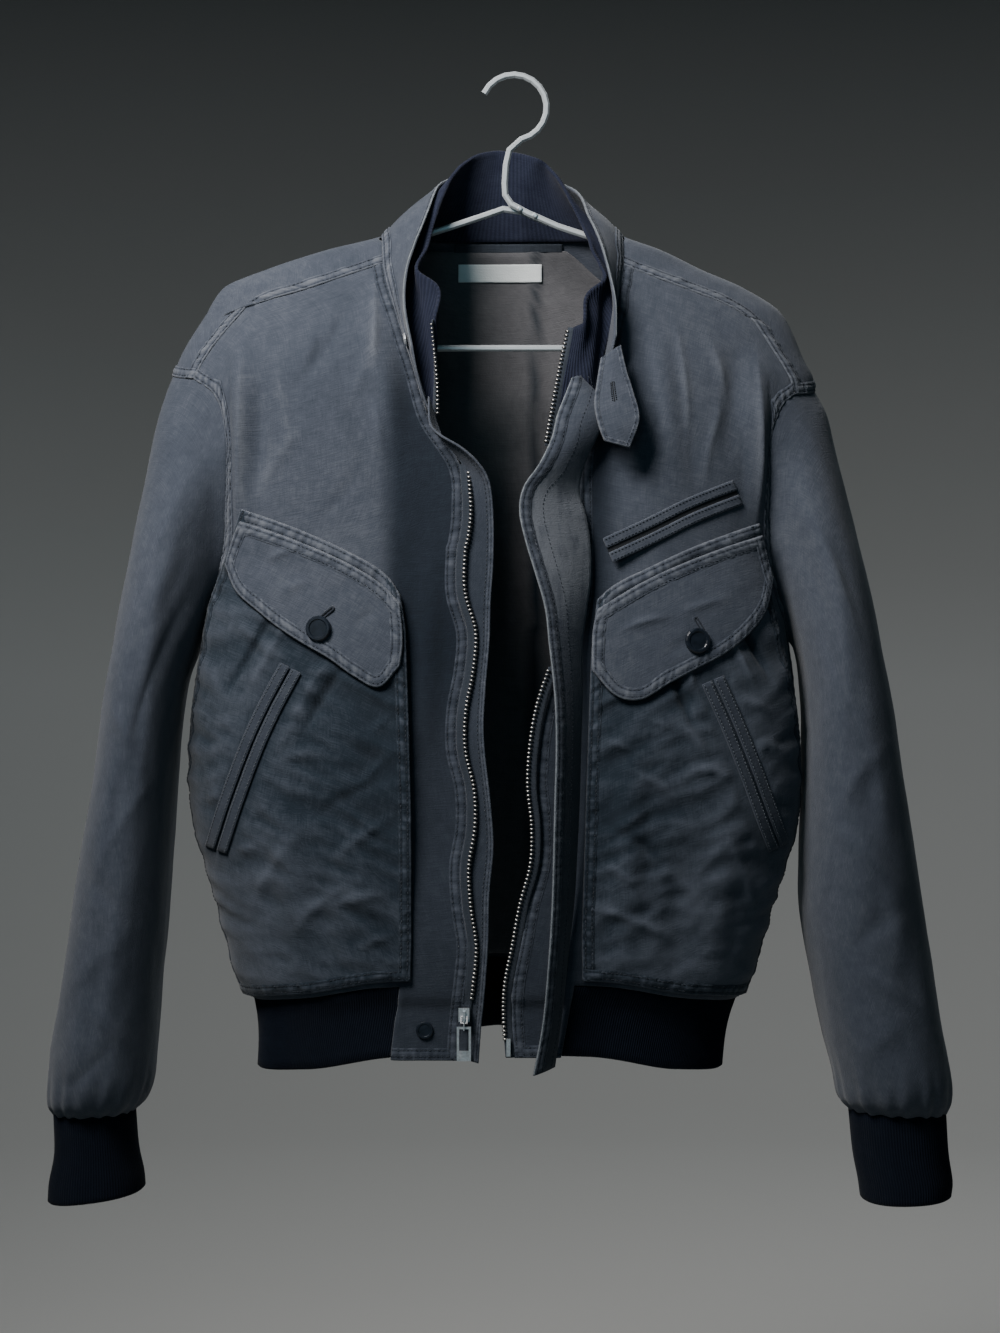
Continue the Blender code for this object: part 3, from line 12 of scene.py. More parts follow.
import bpy
import numpy as np
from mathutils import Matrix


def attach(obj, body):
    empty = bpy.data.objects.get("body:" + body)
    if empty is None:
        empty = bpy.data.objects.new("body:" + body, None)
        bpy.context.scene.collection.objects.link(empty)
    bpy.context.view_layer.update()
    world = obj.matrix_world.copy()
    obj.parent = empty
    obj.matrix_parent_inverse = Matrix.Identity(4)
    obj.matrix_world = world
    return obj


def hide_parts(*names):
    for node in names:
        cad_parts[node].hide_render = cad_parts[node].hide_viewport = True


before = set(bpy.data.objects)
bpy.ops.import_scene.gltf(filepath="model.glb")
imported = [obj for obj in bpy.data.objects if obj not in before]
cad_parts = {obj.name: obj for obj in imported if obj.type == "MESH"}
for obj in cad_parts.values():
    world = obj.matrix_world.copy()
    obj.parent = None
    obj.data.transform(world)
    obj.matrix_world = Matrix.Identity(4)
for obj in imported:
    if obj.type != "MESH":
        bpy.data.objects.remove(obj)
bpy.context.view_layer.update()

MM = 0.001
CLOTH, THIN, RIB = 1.6, 1.2, 2.6    # thickness of the shell cloth, of thin cloth and of rib knit
LAY = 0.8                           # air between a patch or a flap and the cloth under it
CENTRE_X = -13.0
SIDE = 90.0                         # angle of the side seams
HEM_SIDE = 697.0                    # drop of the hem seam at the sides
BAND = 50.0                         # height of the hem band
RIGHT, LEFT = "r", "l"
SIGN = {RIGHT: -1, LEFT: 1}
FACES = {"front": 1, "back": -1}    # with the sign of the way ahead on each

# The jacket's rings. Squareness 2 is an ellipse, and more than 2 has fuller corners.
# drop, half width right, half width left, front depth, back depth, squareness
RINGS = (
    (115, 78, 86, 10, 44, 2.0), (120, 87, 95, 18, 46, 1.95), (131, 130, 125, 27, 48, 1.8),
    (146, 176, 156, 35, 50, 1.7), (160, 208, 188, 43, 52, 1.7), (180, 221, 217, 51, 55, 1.8),
    (214, 241, 233, 62, 59, 2.0), (232, 246.5, 241, 66, 61, 2.1), (255, 239, 241, 70, 64, 2.25),
    (283, 228, 228, 74, 66, 2.4), (320, 220, 217, 77, 69, 2.5), (363, 215, 211, 80, 71, 2.5),
    (420, 222, 219, 84, 74, 2.5), (470, 227, 225, 86, 76, 2.5), (516, 229, 226, 87, 77, 2.5),
    (556, 226, 224, 87, 77, 2.5), (600, 215, 213, 86, 76, 2.5), (640, 204, 201, 84, 73, 2.5),
    (690, 190, 186, 80, 67, 2.55), (700, 184, 181, 76, 63, 2.6), (752, 182, 171, 74, 60, 2.6),
)

# Broad folds of the body, each a soft ridge (or a trough, where its height is below 0)
# x at its start, drop there, x at its end, drop there, half width, height
FOLDS = {
    "front": ((-206, 190, -204, 380, 15, 4.5), (-186, 215, -190, 330, 12, -3.5),
        (-108, 150, -86, 300, 16, 4.0), (-130, 240, -80, 350, 15, -3.0),
        (-60, 340, -66, 520, 13, 3.0), (-120, 560, -96, 680, 17, 3.0),
        (-176, 520, -150, 680, 18, 3.5), (-150, 600, -128, 690, 14, -3.0),
        (186, 205, 180, 360, 14, 4.5), (166, 200, 160, 300, 12, -3.0),
        (104, 190, 122, 330, 15, 3.5), (48, 430, 44, 680, 22, -2.0), (86, 480, 80, 680, 16, 3.5),
        (130, 560, 112, 690, 17, -3.0), (160, 540, 140, 690, 15, 3.0)),
    "back": ((-190, 230, -150, 420, 20, 4.0), (-120, 260, -104, 520, 22, -3.5),
        (-70, 400, -92, 660, 20, 3.5), (-10, 250, -22, 560, 24, 3.0), (40, 430, 26, 650, 18, -3.5),
        (96, 300, 70, 600, 22, 3.5), (168, 240, 130, 450, 20, 4.0), (-150, 520, -140, 680, 18, 3.0),
        (140, 520, 126, 680, 18, -3.0)),
}

# The armhole seam, from the shoulder's top (share 1) round the front to the underarm.
# Station 1 is halfway between the first two rows.
# drop, share of the half width
ARMHOLES = {
    RIGHT: ((226, 1.0), (231, 0.922), (241, 0.872), (257, 0.860), (279, 0.876), (305, 0.902),
        (334, 0.928), (365, 0.955), (393, 0.981), (411, 0.995), (421, 1.0)),
    LEFT: ((238, 1.0), (243, 0.925), (251, 0.888), (264, 0.870), (283, 0.890), (308, 0.922),
        (336, 0.948), (366, 0.974), (396, 0.990), (415, 0.998), (426, 1.0)),
}
ARM_STEPS = 11       # stations from the top of an armhole to its bottom
YOKE_STATION = 2     # the yoke's seams meet the armhole at this station

# The yoke's front seam, from the armhole's station to the neck
# x, drop
YOKE_SEAMS = {
    RIGHT: ((-237, 221), (-232, 210), (-224, 197), (-211, 182), (-186, 172), (-160, 165),
        (-130, 155), (-98, 144)),
    LEFT: ((206, 230), (201, 216), (192, 201), (179, 187), (160, 175), (137, 166), (110, 156),
        (82, 145)),
}
YOKE_COLUMNS = 12    # cells along a shoulder, neck to armhole
BACK_COLUMNS = 18
BACK_SEAM_CENTRE = 212.0    # drop of the yoke's back seam in the middle

# The free edges of the fronts: down the neck, then down the zip
# drop, x
FRONT_EDGES = {
    RIGHT: ((144, -98), (161, -95), (179, -89), (205, -81), (235, -71), (258, -64), (277, -57),
        (291, -45), (306, -38), (335, -38), (380, -44), (428, -34), (497, -43), (552, -34),
        (604, -40), (655, -34), (703, -39), (745, -42)),
    LEFT: ((145, 82), (166, 78), (205, 71), (228, 66), (251, 59), (273, 54), (303, 49), (369, 50),
        (406, 47), (435, 37), (464, 26), (500, 18), (538, 16), (578, 20), (618, 11), (662, 3),
        (692, -2), (745, 1)),
}
NECK_END = {RIGHT: 277.0, LEFT: 273.0}    # drop where the collars end
STRIP_BOTTOM = {RIGHT: 737.0, LEFT: 735.0}
# The strips' outer edges, top and bottom
STRIP_X = {RIGHT: (-84.0, -91.0), LEFT: (44.0, 34.0)}
STRIP_TOP = {RIGHT: 682.0, LEFT: 680.0}
FRONT_COLUMNS = 12
STRIP_COLUMNS = 2
STRIP_COLUMN = FRONT_COLUMNS - STRIP_COLUMNS
FRONT_ROWS_BELOW = 11    # rows below the underarm
FRONT_ROWS = ARM_STEPS - YOKE_STATION + FRONT_ROWS_BELOW

EDGE_FADE = 8            # how soon an edge's curve fades out inside a region

# Sections of a sleeve: its outer and inner lines as seen from the front, and its half depth
# outer x, outer drop, inner x, inner drop, half depth
SLEEVES = {
    RIGHT: ((-265, 243, -237.5, 427, 47), (-273, 273, -240, 436, 54), (-280, 309, -243, 446, 61),
        (-288, 346, -247, 457, 67), (-296, 389, -250, 473, 72), (-304, 435, -252.5, 492, 75),
        (-311, 482, -255, 516, 76), (-318, 533, -257.5, 549, 76), (-327, 587, -260, 593, 74),
        (-335, 640, -263, 641, 71), (-343, 693, -268, 693, 68), (-350, 735, -271, 735, 65),
        (-353, 761, -274, 760, 62), (-353, 777, -280, 775, 56), (-349, 785, -288, 783, 46)),
    LEFT: ((237, 255, 211.5, 433, 47), (244, 281, 214, 442, 54), (252, 313, 216, 451, 61),
        (261, 351, 217.5, 464, 67), (270, 393, 218.5, 479, 72), (278, 435, 219, 499, 75),
        (287, 482, 219, 526, 76), (295, 537, 218, 560, 76), (303, 587, 217, 598, 74),
        (311, 638, 218, 638, 71), (318, 682, 225, 679, 68), (325, 725, 234, 723, 65),
        (331, 758, 242, 755, 62), (331, 775, 246, 773, 56), (327.5, 785, 254.5, 782, 46)),
}
CUFFS = {
    RIGHT: ((-348.7, 785, -288.3, 783, 45.7), (-348, 815, -286, 812, 46),
        (-352, 837, -282, 831, 48), (-353, 851, -281, 842, 49)),
    LEFT: ((327.2, 785, 254.8, 782, 45.7), (329, 815, 258, 815, 46), (332, 836, 262, 836, 48),
        (331, 847, 264, 850, 49)),
}
# How much of the armhole's shape each section of a sleeve keeps, from the seam on
SEAM_SHAPE_KEPT = (1.0, 0.8, 0.55, 0.32, 0.15, 0.05)

# Broad folds of a sleeve: angle round it (0 outer, 90 front) and drop at each end
# angle, drop, angle, drop, half width, height
SLEEVE_FOLDS = {
    RIGHT: ((60, 300, 110, 480, 15, 3.5), (120, 470, 60, 600, 14, -3.5),
        (40, 560, 120, 660, 15, 4.0), (60, 640, 110, 740, 13, -3.5), (110, 660, 50, 760, 12, 3.5),
        (250, 330, 290, 520, 16, 3.5), (240, 560, 300, 680, 15, 3.5),
        (300, 650, 250, 750, 14, -3.0)),
    LEFT: ((70, 320, 100, 500, 15, 3.5), (50, 500, 120, 590, 14, -3.5),
        (110, 560, 50, 660, 15, 4.0), (50, 640, 100, 740, 13, -3.5), (80, 680, 130, 765, 12, 3.5),
        (250, 340, 290, 520, 16, 3.5), (300, 560, 240, 680, 15, 3.5),
        (250, 650, 300, 750, 14, -3.0)),
}
AROUND = 2 * ARM_STEPS

# Rows of the wind flap behind the right zip: place beside the zip and place of its free edge
# x, drop, lift, free x, free drop, free lift
WIND_FLAP = (
    (-57, 272, 2.2, -63, 251, 9), (-52, 283, 2.2, -62, 270, 12), (-45.5, 290, 2.2, -55, 279, 14),
    (-39, 299, 1.8, -40, 288, 15), (-36, 309, 0.4, -28, 298, 13), (-36, 322, -1.2, -19, 312, 9),
    (-37, 342, -2.0, -16, 336, 4), (-41, 372, -2.0, -16, 370, 3), (-41, 400, -2.0, -18, 400, 3),
    (-33, 430, -2.0, -19, 430, 4), (-37, 466, -2.0, -22, 466, 4), (-42, 500, -2.0, -23, 500, 5),
    (-33, 548, -2.0, -18, 548, 4), (-35, 580, -2.0, -16, 580, 3), (-38, 612, -2.0, -19, 614, 3),
    (-33, 650, -2.0, -20, 652, 3), (-36, 690, -2.0, -23, 692, 3), (-38, 708, -2.0, -25, 711, 3),
    (-40, 736, -2.0, -27, 739, 2),
)
# Rows of the storm flap over the left zip: its free edge and its seam
# free x, free drop, free lift, seam x, drop
STORM_FLAP = (
    (42, 238, 15, 48, 237, 14), (37, 251, 16, 62, 252, 13), (31, 267, 18, 66, 266, 12),
    (27, 283, 20, 60, 280, 9), (18, 302, 25, 52, 298, 4), (7, 319, 28, 48, 318, 0.3),
    (4, 336, 28, 53, 338, 0.1), (8, 357, 28, 56, 360, 0.1), (15, 381, 28, 56, 384, 0.1),
    (22, 406, 27, 53, 408, 0.1), (25, 432, 27, 50, 434, 0.1), (29, 470, 26, 50, 470, 0.1),
    (30, 505, 26, 49, 505, 0.1), (29, 545, 26, 48, 545, 0.1), (28, 587, 26, 46, 587, 0.1),
    (27, 620, 25, 44, 620, 0.1), (25, 655, 24, 40, 655, 0.1), (21, 695, 23, 36, 695, 0.1),
    (14, 745, 22, 30, 742, 0.1),
)
TAPE_WIDTH = 6.5

# The woven collar's top edge: share of the way along the neck seam, from the right front
# share, x, y, drop
COLLAR_TOP = (
    (0.0, -76, -78, 212), (0.04, -80, -75, 193), (0.08, -82, -68, 174), (0.137, -80, -57, 150),
    (0.19, -73, -44, 128), (0.225, -68, -34, 114), (0.26, -64, -22, 101), (0.295, -61, -8, 90),
    (0.335, -57, 7, 80), (0.40, -40, 31, 69), (0.45, -26, 40, 64), (0.505, -11, 45, 61),
    (0.55, 12, 42, 65), (0.60, 32, 30, 74), (0.665, 49, 8, 86), (0.70, 53, -6, 95),
    (0.735, 55, -18, 104), (0.77, 60, -28, 116), (0.81, 65, -40, 130), (0.86, 70, -54, 150),
    (0.92, 74, -65, 172), (0.96, 76, -71, 188), (1.0, 75, -76, 205),
)
# The knit collar's rim
KNIT_RIM = (
    (0.0, -60, -74, 192), (0.04, -52, -68, 172), (0.09, -66, -60, 163), (0.137, -72, -49, 148),
    (0.19, -66, -36, 128), (0.225, -61, -26, 112), (0.26, -57, -16, 98), (0.30, -53, -5, 86),
    (0.335, -48, 5, 74), (0.39, -37, 19, 60), (0.44, -25, 29, 53), (0.505, -9, 34, 51),
    (0.55, 8, 31, 54), (0.60, 22, 21, 60), (0.665, 36, 5, 77), (0.70, 43, -4, 92),
    (0.735, 50, -11, 108), (0.77, 56, -22, 122), (0.81, 62, -33, 138), (0.865, 67, -45, 155),
    (0.92, 61, -58, 169), (0.96, 51, -65, 176), (1.0, 52, -71, 192),
)
KNIT_END = ((44, -66, 197), (28, -71, 285))     # the knit's left front edge, top and foot
COLLAR_RISE = 0.3      # the collars start this far above the neck seam
NECK_ZIP = 5.0         # width of the zip tapes beside the knit collar
NECK_SKIPPED = 3       # the collars use every third station across the back of the neck

# The tab at the collar's left end
# left x, drop, right x, drop, y
THROAT_TAB = (
    (64, 220, 78, 211, -75.9), (61, 238, 82, 230, -82), (59, 255, 87, 247, -87),
    (62, 271, 91, 266, -91), (66, 282, 84, 287, -92),
)

# Outlines of the patches and flaps, as seen from the front
# outer edge and inner edge, top to bottom: x, drop; top edge, outer to inner: x, drop
PATCHES = {
    RIGHT: {"outer": ((-200, 331), (-209, 357), (-217, 379), (-225, 404)),
            "inner": ((-84, 395), (-81, 413), (-78, 486), (-76, 581), (-76, 655), (-77, 675)),
            "top": ((-200, 331), (-158, 347), (-121, 364), (-95, 380), (-84, 395))},
    LEFT: {"outer": ((180, 341), (184, 358), (187, 379), (190, 402)),
           "inner": ((61, 399), (57, 435), (55, 486), (52, 581), (50, 655), (51, 671)),
           "top": ((180, 341), (136, 358), (99, 375), (72, 389), (61, 399))},
}
FLAPS = {
    RIGHT: {"outer": ((-200, 340), (-206, 356), (-210, 372)),
            "inner": ((-84, 402), (-82, 428), (-84, 447)),
            "top": ((-200, 340), (-158, 356), (-121, 373), (-96, 389), (-84, 402)),
            "bottom": ((-210, 372), (-205, 387), (-188, 405), (-165, 423), (-135, 441), (-99, 462),
                       (-84, 447))},
    LEFT: {"outer": ((181, 350), (184, 366), (187, 383)),
           "inner": ((61, 406), (57, 428), (57, 450)),
           "top": ((181, 350), (136, 367), (98, 384), (61, 406)),
           "bottom": ((187, 383), (184, 400), (172, 420), (153, 437), (121, 454), (83, 473),
                      (57, 450))},
}
PATCH_SIDE = 83.0        # angle where a patch ends, near the side seam
PATCH_FOOT = 5.0         # a patch ends this far above the hem seam
PATCH_FULLNESS = 4.0
PATCH_COLUMNS, PATCH_ROWS = 10, 12
FLAP_COLUMNS, FLAP_ROWS = 8, 3
# The hand pockets' slits, top to bottom: x, drop
HAND_SLITS = {
    RIGHT: ((-163, 449), (-178, 478), (-190, 505), (-203, 540), (-217, 582)),
    LEFT: ((144, 458), (157, 488), (171, 524), (184, 560), (192, 580)),
}
CHEST_SLIT = ((69, 362), (101, 347), (131, 332), (165, 318))
LIP = 7.0              # width of a pocket's lips, and the slit's half width
SLIT = 1.2

LINING_LIFT = -(CLOTH + 0.8)
LINING_COLUMNS = (4, 14)       # it covers the back panel from this column to that one
LINING_FOOT = 3.0              # it ends this far above the hem seam
NECK_TAPE = (-46, 38, 120.5, 126.5)       # x from, x to, drop from, drop to
LABEL = (-43, 22, 136, 149)

# Smaller creases, placed from the photo, with like ones at the back
# x, drop, x, drop, half width, height, bow
CREASES = {
    "front": ((-142, 195, -158, 229, 6, -2.0, 3), (-104, 151, -104, 244, 5, 3.4, 0),
        (-104, 244, -99, 292, 5, 2.4, 1), (-205, 193, -205, 369, 6, 3.6, 2),
        (-214, 200, -213, 360, 4, -2.0, 2), (-120, 200, -90, 330, 7, -1.8, 6),
        (181, 200, 178, 360, 6, 3.0, 3), (190, 215, 188, 350, 4, -1.8, 2),
        (118, 178, 128, 300, 6, 2.0, 4), (92, 190, 106, 330, 6, -1.6, 5),
        (-98, 176, -128, 262, 6, 1.8, 4), (-120, 165, -170, 250, 7, -1.6, 5),
        (-150, 262, -196, 330, 6, 1.6, -4), (-186, 205, -166, 300, 7, 1.6, 5),
        (-110, 292, -150, 345, 6, -1.3, 3), (80, 178, 70, 260, 6, 1.6, -4),
        (140, 190, 160, 262, 7, 1.5, 4), (108, 250, 84, 330, 6, -1.3, 3),
        (160, 240, 140, 320, 6, 1.5, -4)),
    "back": ((-150, 230, -120, 420, 8, 2.4, 8), (-60, 260, -80, 470, 7, -2.0, -6),
        (20, 240, 8, 430, 8, 2.2, 5), (110, 250, 84, 460, 7, -2.2, 7),
        (150, 300, 120, 520, 8, 2.6, -8), (-110, 470, -170, 560, 7, 2.0, 5),
        (-40, 520, -70, 640, 7, 2.0, 4), (60, 500, 100, 620, 7, -2.0, 5),
        (-160, 600, -90, 668, 6, 1.8, 4), (30, 600, 60, 672, 6, 1.8, -3),
        (120, 560, 160, 660, 7, 2.0, -5)),
}
# The same, on the patches and flaps
PATCH_CREASES = {
    RIGHT: ((-172, 394, -219, 474, 5, -4.6, 2), (-160, 394, -207, 480, 5, 2.6, 3),
        (-118, 436, -160, 508, 5, -4.6, -3), (-131, 436, -168, 500, 5, 2.4, -3),
        (-137, 594, -82, 553, 5, 3.2, 3), (-142, 626, -85, 612, 5, 2.7, 2),
        (-123, 659, -82, 642, 5, 2.4, 2), (-177, 504, -161, 499, 4, 2.2, 1),
        (-183, 520, -137, 509, 5, 2.7, 2), (-202, 561, -183, 553, 4, 2.4, 1),
        (-204, 585, -180, 576, 4, 2.2, 1), (-226, 488, -204, 491, 4, 2.4, 1),
        (-229, 512, -207, 504, 4, 2.4, 1), (-232, 531, -210, 527, 4, 2.4, 1),
        (-229, 547, -215, 542, 4, 2.2, 1), (-150, 560, -90, 528, 5, -2.4, 3),
        (-170, 650, -110, 600, 6, 2.4, 4), (-200, 640, -150, 560, 7, 2.2, 5),
        (-118, 540, -82, 505, 5, 2.4, 2), (-110, 500, -84, 478, 4, 2.0, 1)),
    LEFT: ((158, 405, 192, 462, 5, -4.4, 2), (148, 410, 180, 466, 5, 2.4, 2),
        (106, 436, 134, 500, 5, -4.6, 2), (118, 436, 146, 490, 5, 2.4, 2),
        (118, 487, 143, 516, 6, 3.2, 3), (98, 487, 118, 493, 4, 2.4, 1),
        (121, 522, 164, 530, 5, 3.0, 3), (73, 519, 124, 547, 5, 3.0, 3),
        (41, 621, 124, 653, 6, 3.2, 5), (164, 470, 192, 482, 4, 2.4, 1),
        (175, 507, 201, 507, 4, 2.4, 1), (60, 560, 120, 600, 6, -2.7, 4),
        (100, 590, 150, 640, 7, 2.4, 5), (150, 560, 180, 640, 7, 2.2, 4),
        (60, 590, 95, 612, 5, 2.4, 2), (62, 500, 92, 512, 4, 2.2, 1)),
}
FLAP_CREASES = {
    RIGHT: ((-185, 370, -158, 359, 5, 1.8, 1), (-175, 395, -150, 385, 6, 1.2, 2),
        (-120, 420, -100, 405, 6, -1.2, 1)),
    LEFT: ((75, 422, 118, 410, 5, 1.8, 2), (118, 410, 164, 396, 5, 1.6, 2),
        (100, 445, 150, 420, 6, -1.2, 2)),
}
# angle round the sleeve (times 1.05), drop, angle, drop, half width, height, bow
SLEEVE_CREASES = {
    RIGHT: ((70, 290, 60, 420, 12, 1.8, 4), (125, 380, 90, 520, 12, -1.8, 6),
        (40, 470, 130, 540, 12, 2.0, 8), (150, 520, 60, 610, 11, 1.8, -8),
        (40, 600, 120, 640, 11, -1.8, 6), (130, 640, 40, 700, 11, 2.0, -6),
        (50, 690, 140, 735, 11, 1.8, 5), (120, 720, 60, 765, 10, -1.7, 3),
        (250, 360, 300, 500, 13, 1.8, 6), (240, 540, 320, 600, 12, 1.8, 6),
        (300, 620, 230, 690, 12, -1.8, 5), (240, 700, 310, 750, 11, 1.7, 4)),
    LEFT: ((80, 300, 70, 440, 12, 1.8, 4), (120, 400, 80, 520, 12, -1.7, 6),
        (45, 500, 130, 560, 12, 2.0, 8), (140, 560, 50, 630, 11, 1.8, -8),
        (40, 620, 130, 665, 11, -1.8, 6), (130, 670, 40, 715, 11, 2.0, -6),
        (60, 705, 140, 745, 11, 1.7, 4), (250, 380, 300, 520, 13, 1.8, 6),
        (240, 560, 320, 620, 12, 1.8, 6), (300, 640, 230, 700, 12, -1.8, 5)),
}

CREASE_STRETCH = 1.05     # a sleeve's creases give the angle round it, times this
GATHERS = 17              # gathers round a sleeve, above its cuff
NECK_CENTRE_Y = -14.0     # the collars lean out from here
LINING_SEAM = 17.0        # x of the lining's seam
TEETH_TOP = {RIGHT: 290.0, LEFT: 425.0}    # drop where the tapes' teeth start


# ---- small helpers

def look_up(table, keys):
    """The other columns of a table at values of its first one, on a smooth curve."""
    table = np.asarray(table, float)
    keys = np.asarray(keys, float)
    at, value = table[:, 0], table[:, 1:]
    rise = np.diff(value, axis=0) / np.diff(at)[:, None]
    before, after = np.vstack([rise[:1], rise]), np.vstack([rise, rise[-1:]])
    total = before + after
    same_way = before * after > 0
    tilt = np.where(same_way, 2 * before * after / np.where(same_way, total, 1.0), 0.0)
    row = np.clip(np.searchsorted(at, keys, side="left") - 1, 0, len(at) - 2)
    width = (at[row + 1] - at[row])[..., None]
    share = np.clip((keys - at[row])[..., None] / width, 0.0, 1.0)
    square, cube = share ** 2, share ** 3
    return (value[row] * (2 * cube - 3 * square + 1) + value[row + 1] * (3 * square - 2 * cube)
            + tilt[row] * width * (cube - 2 * square + share)
            + tilt[row + 1] * width * (cube - square))


def run_length(points):
    """The length along a line up to each of its points."""
    steps = np.linalg.norm(np.diff(points, axis=0), axis=1)
    return np.concatenate([[0.0], np.cumsum(steps)])


def along(points, count):
    """Points at count + 1 equal steps along a smooth curve through the given ones."""
    points = np.asarray(points, float)
    length = run_length(points)
    table = np.column_stack([length, points])
    return look_up(table, np.linspace(0, length[-1], count + 1))


def follow(values, at, where):
    """Values of a line's points at these lengths along it."""
    return np.stack([np.interp(where, at, values[:, axis]) for axis in range(3)], -1)


def mix(a, b, share):
    return np.asarray(a, float) + (np.asarray(b, float) - np.asarray(a, float)) * share


def smooth(value, low, high):
    """A soft step from 0 at low to 1 at high."""
    share = np.clip((value - low) / (high - low), 0.0, 1.0)
    return share * share * (3 - 2 * share)


def swell(value, middle, width):
    """A soft swelling, 1 high at its middle."""
    return np.exp(-((value - middle) / width) ** 2)


def soft_steps(value, *rows):
    """The sum of soft steps: how much, from where and to where."""
    return sum(amount * smooth(value, low, high) for amount, low, high in rows)


def unit(vectors):
    length = np.linalg.norm(vectors, axis=-1, keepdims=True)
    return vectors / np.maximum(length, 1e-9)


def place(x, y, drop):
    """A point in millimetres."""
    return np.array([x, y, -drop], float)


def noise(across, down, seed):
    """Smooth noise between about -1 and 1, the same on every run."""
    across, down = np.broadcast_arrays(np.asarray(across, float), np.asarray(down, float))
    left, top = np.floor(across), np.floor(down)
    u, v = across - left, down - top

    def corner(du, dv):
        number = (left + du).astype(np.int64) * 374761393 + (top + dv).astype(np.int64) * 668265263
        number = (number + seed * 1442695041) & 0xFFFFFFFF
        number = ((number ^ (number >> 13)) * 1274126177) & 0xFFFFFFFF
        turn = (number ^ (number >> 16)) * (2 * math.pi / 2 ** 32)
        return np.cos(turn) * (u - du) + np.sin(turn) * (v - dv)

    fade_u, fade_v = u ** 3 * (u * (6 * u - 15) + 10), v ** 3 * (v * (6 * v - 15) + 10)
    upper = corner(0, 0) * (1 - fade_u) + corner(1, 0) * fade_u
    lower = corner(0, 1) * (1 - fade_u) + corner(1, 1) * fade_u
    return 1.5 * (upper * (1 - fade_v) + lower * fade_v)


def refine(grid, down, across, wrap=False):
    """A finer grid on a smooth surface through the same points."""
    grid = np.asarray(grid, float)
    for axis, times, closed in ((0, down, False), (1, across, wrap)):
        grid = np.moveaxis(grid, axis, 0)
        if closed:
            line, count = np.concatenate([grid[-1:], grid, grid[:2]]), len(grid)
        else:
            ends = 2 * grid[:1] - grid[1:2], 2 * grid[-1:] - grid[-2:-1]
            line, count = np.concatenate([ends[0], grid, ends[1]]), len(grid) - 1
        before, start, end, after = (line[k:k + count, None] for k in range(4))
        t = (np.arange(times) / times).reshape((1, times) + (1,) * (grid.ndim - 1))
        fine = 0.5 * (2 * start + (end - before) * t
                      + (2 * before - 5 * start + 4 * end - after) * t ** 2
                      + (3 * start - before - 3 * end + after) * t ** 3)
        fine = fine.reshape((count * times,) + grid.shape[1:])
        if not closed:
            fine = np.concatenate([fine, grid[-1:]])
        grid = np.moveaxis(fine, 0, axis)
    return grid


def grid_normals(grid, wrap=False):
    fall = np.gradient(grid, axis=0)
    if wrap:
        turn = np.roll(grid, -1, axis=1) - np.roll(grid, 1, axis=1)
    else:
        turn = np.gradient(grid, axis=1)
    return unit(np.cross(fall, turn))


# ---- the jacket's surface

def body(angle, drop):
    """A point of the smooth outer face, before its folds."""
    angle, drop = np.broadcast_arrays(np.asarray(angle, float), np.asarray(drop, float))
    right, left, front, back, square = np.moveaxis(look_up(RINGS, drop), -1, 0)
    across, ahead = np.sin(np.radians(angle)), np.cos(np.radians(angle))
    scale = (np.abs(across) ** square + np.abs(ahead) ** square) ** (1 / square)
    wide = np.where(across > 0, left, right)
    deep = np.where(ahead > 0, front, back)
    return np.stack([CENTRE_X + wide * across / scale, -deep * ahead / scale, -drop], axis=-1)


def normal(angle, drop):
    """The direction straight out of the smooth face."""
    turn = body(angle + 0.5, drop) - body(angle - 0.5, drop)
    fall = body(angle, drop + 0.5) - body(angle, drop - 0.5)
    return unit(np.cross(fall, turn))


def angle_of_share(share, square, face="front"):
    share = min(max(share, -1.0), 1.0)
    ahead = (1 - abs(share) ** square) ** (1 / square)
    angle = math.degrees(math.atan2(share, ahead))
    if face == "front":
        return angle
    return -180 - angle if share < 0 else 180 - angle


def angle_at(x, drop, face="front"):
    """The angle at which the surface passes x, on the front or the back."""
    right, left, _, _, square = look_up(RINGS, drop)
    return angle_of_share((x - CENTRE_X) / (left if x > CENTRE_X else right), square, face)


def angles_at(x, drop, face="front"):
    """The angles at arrays of x and drop."""
    return np.array([angle_at(*spot, face) for spot in np.broadcast(x, drop)])


def spots(points, count):
    """(angle, drop) at equal steps along a line of (x, drop) on the front."""
    points = along(points, count)
    return np.column_stack([angles_at(*points.T), points[:, 1]])


def off_line(row, across, down):
    """How far along a row's line each point is, as a share, and how far to its side."""
    x0, drop0, x1, drop1 = row[:4]
    run = (x1 - x0, drop1 - drop0)
    length = math.hypot(*run)
    step = ((across - x0) * run[0] + (down - drop0) * run[1]) / length ** 2
    return np.clip(step, 0, 1), ((across - x0) * run[1] - (down - drop0) * run[0]) / length


def fold(rows, across, down):
    """Height of soft ridges and troughs, each along a line in a flat picture of the face:
    across and down at its start, at its end, half width, height."""
    total = np.zeros(np.broadcast(across, down).shape)
    for row in rows:
        step, aside = off_line(row, across, down)
        half_width, height = row[4:]
        cross = np.clip(1 - (np.abs(aside) / half_width) ** 2, 0, 1) ** 2
        total += height * cross * np.sin(math.pi * step) ** 1.2
    return total


def crease(rows, across, down):
    """As fold, but each one bends by its bow and is sharp along its line."""
    total = np.zeros(np.broadcast(across, down).shape)
    for row in rows:
        step, aside = off_line(row, across, down)
        half_width, height, bow = row[4:]
        aside = np.abs(aside - bow * np.sin(math.pi * step)) / half_width
        total += height * np.exp(-2.2 * aside ** 1.4) * np.sin(math.pi * step) ** 1.5
    return total


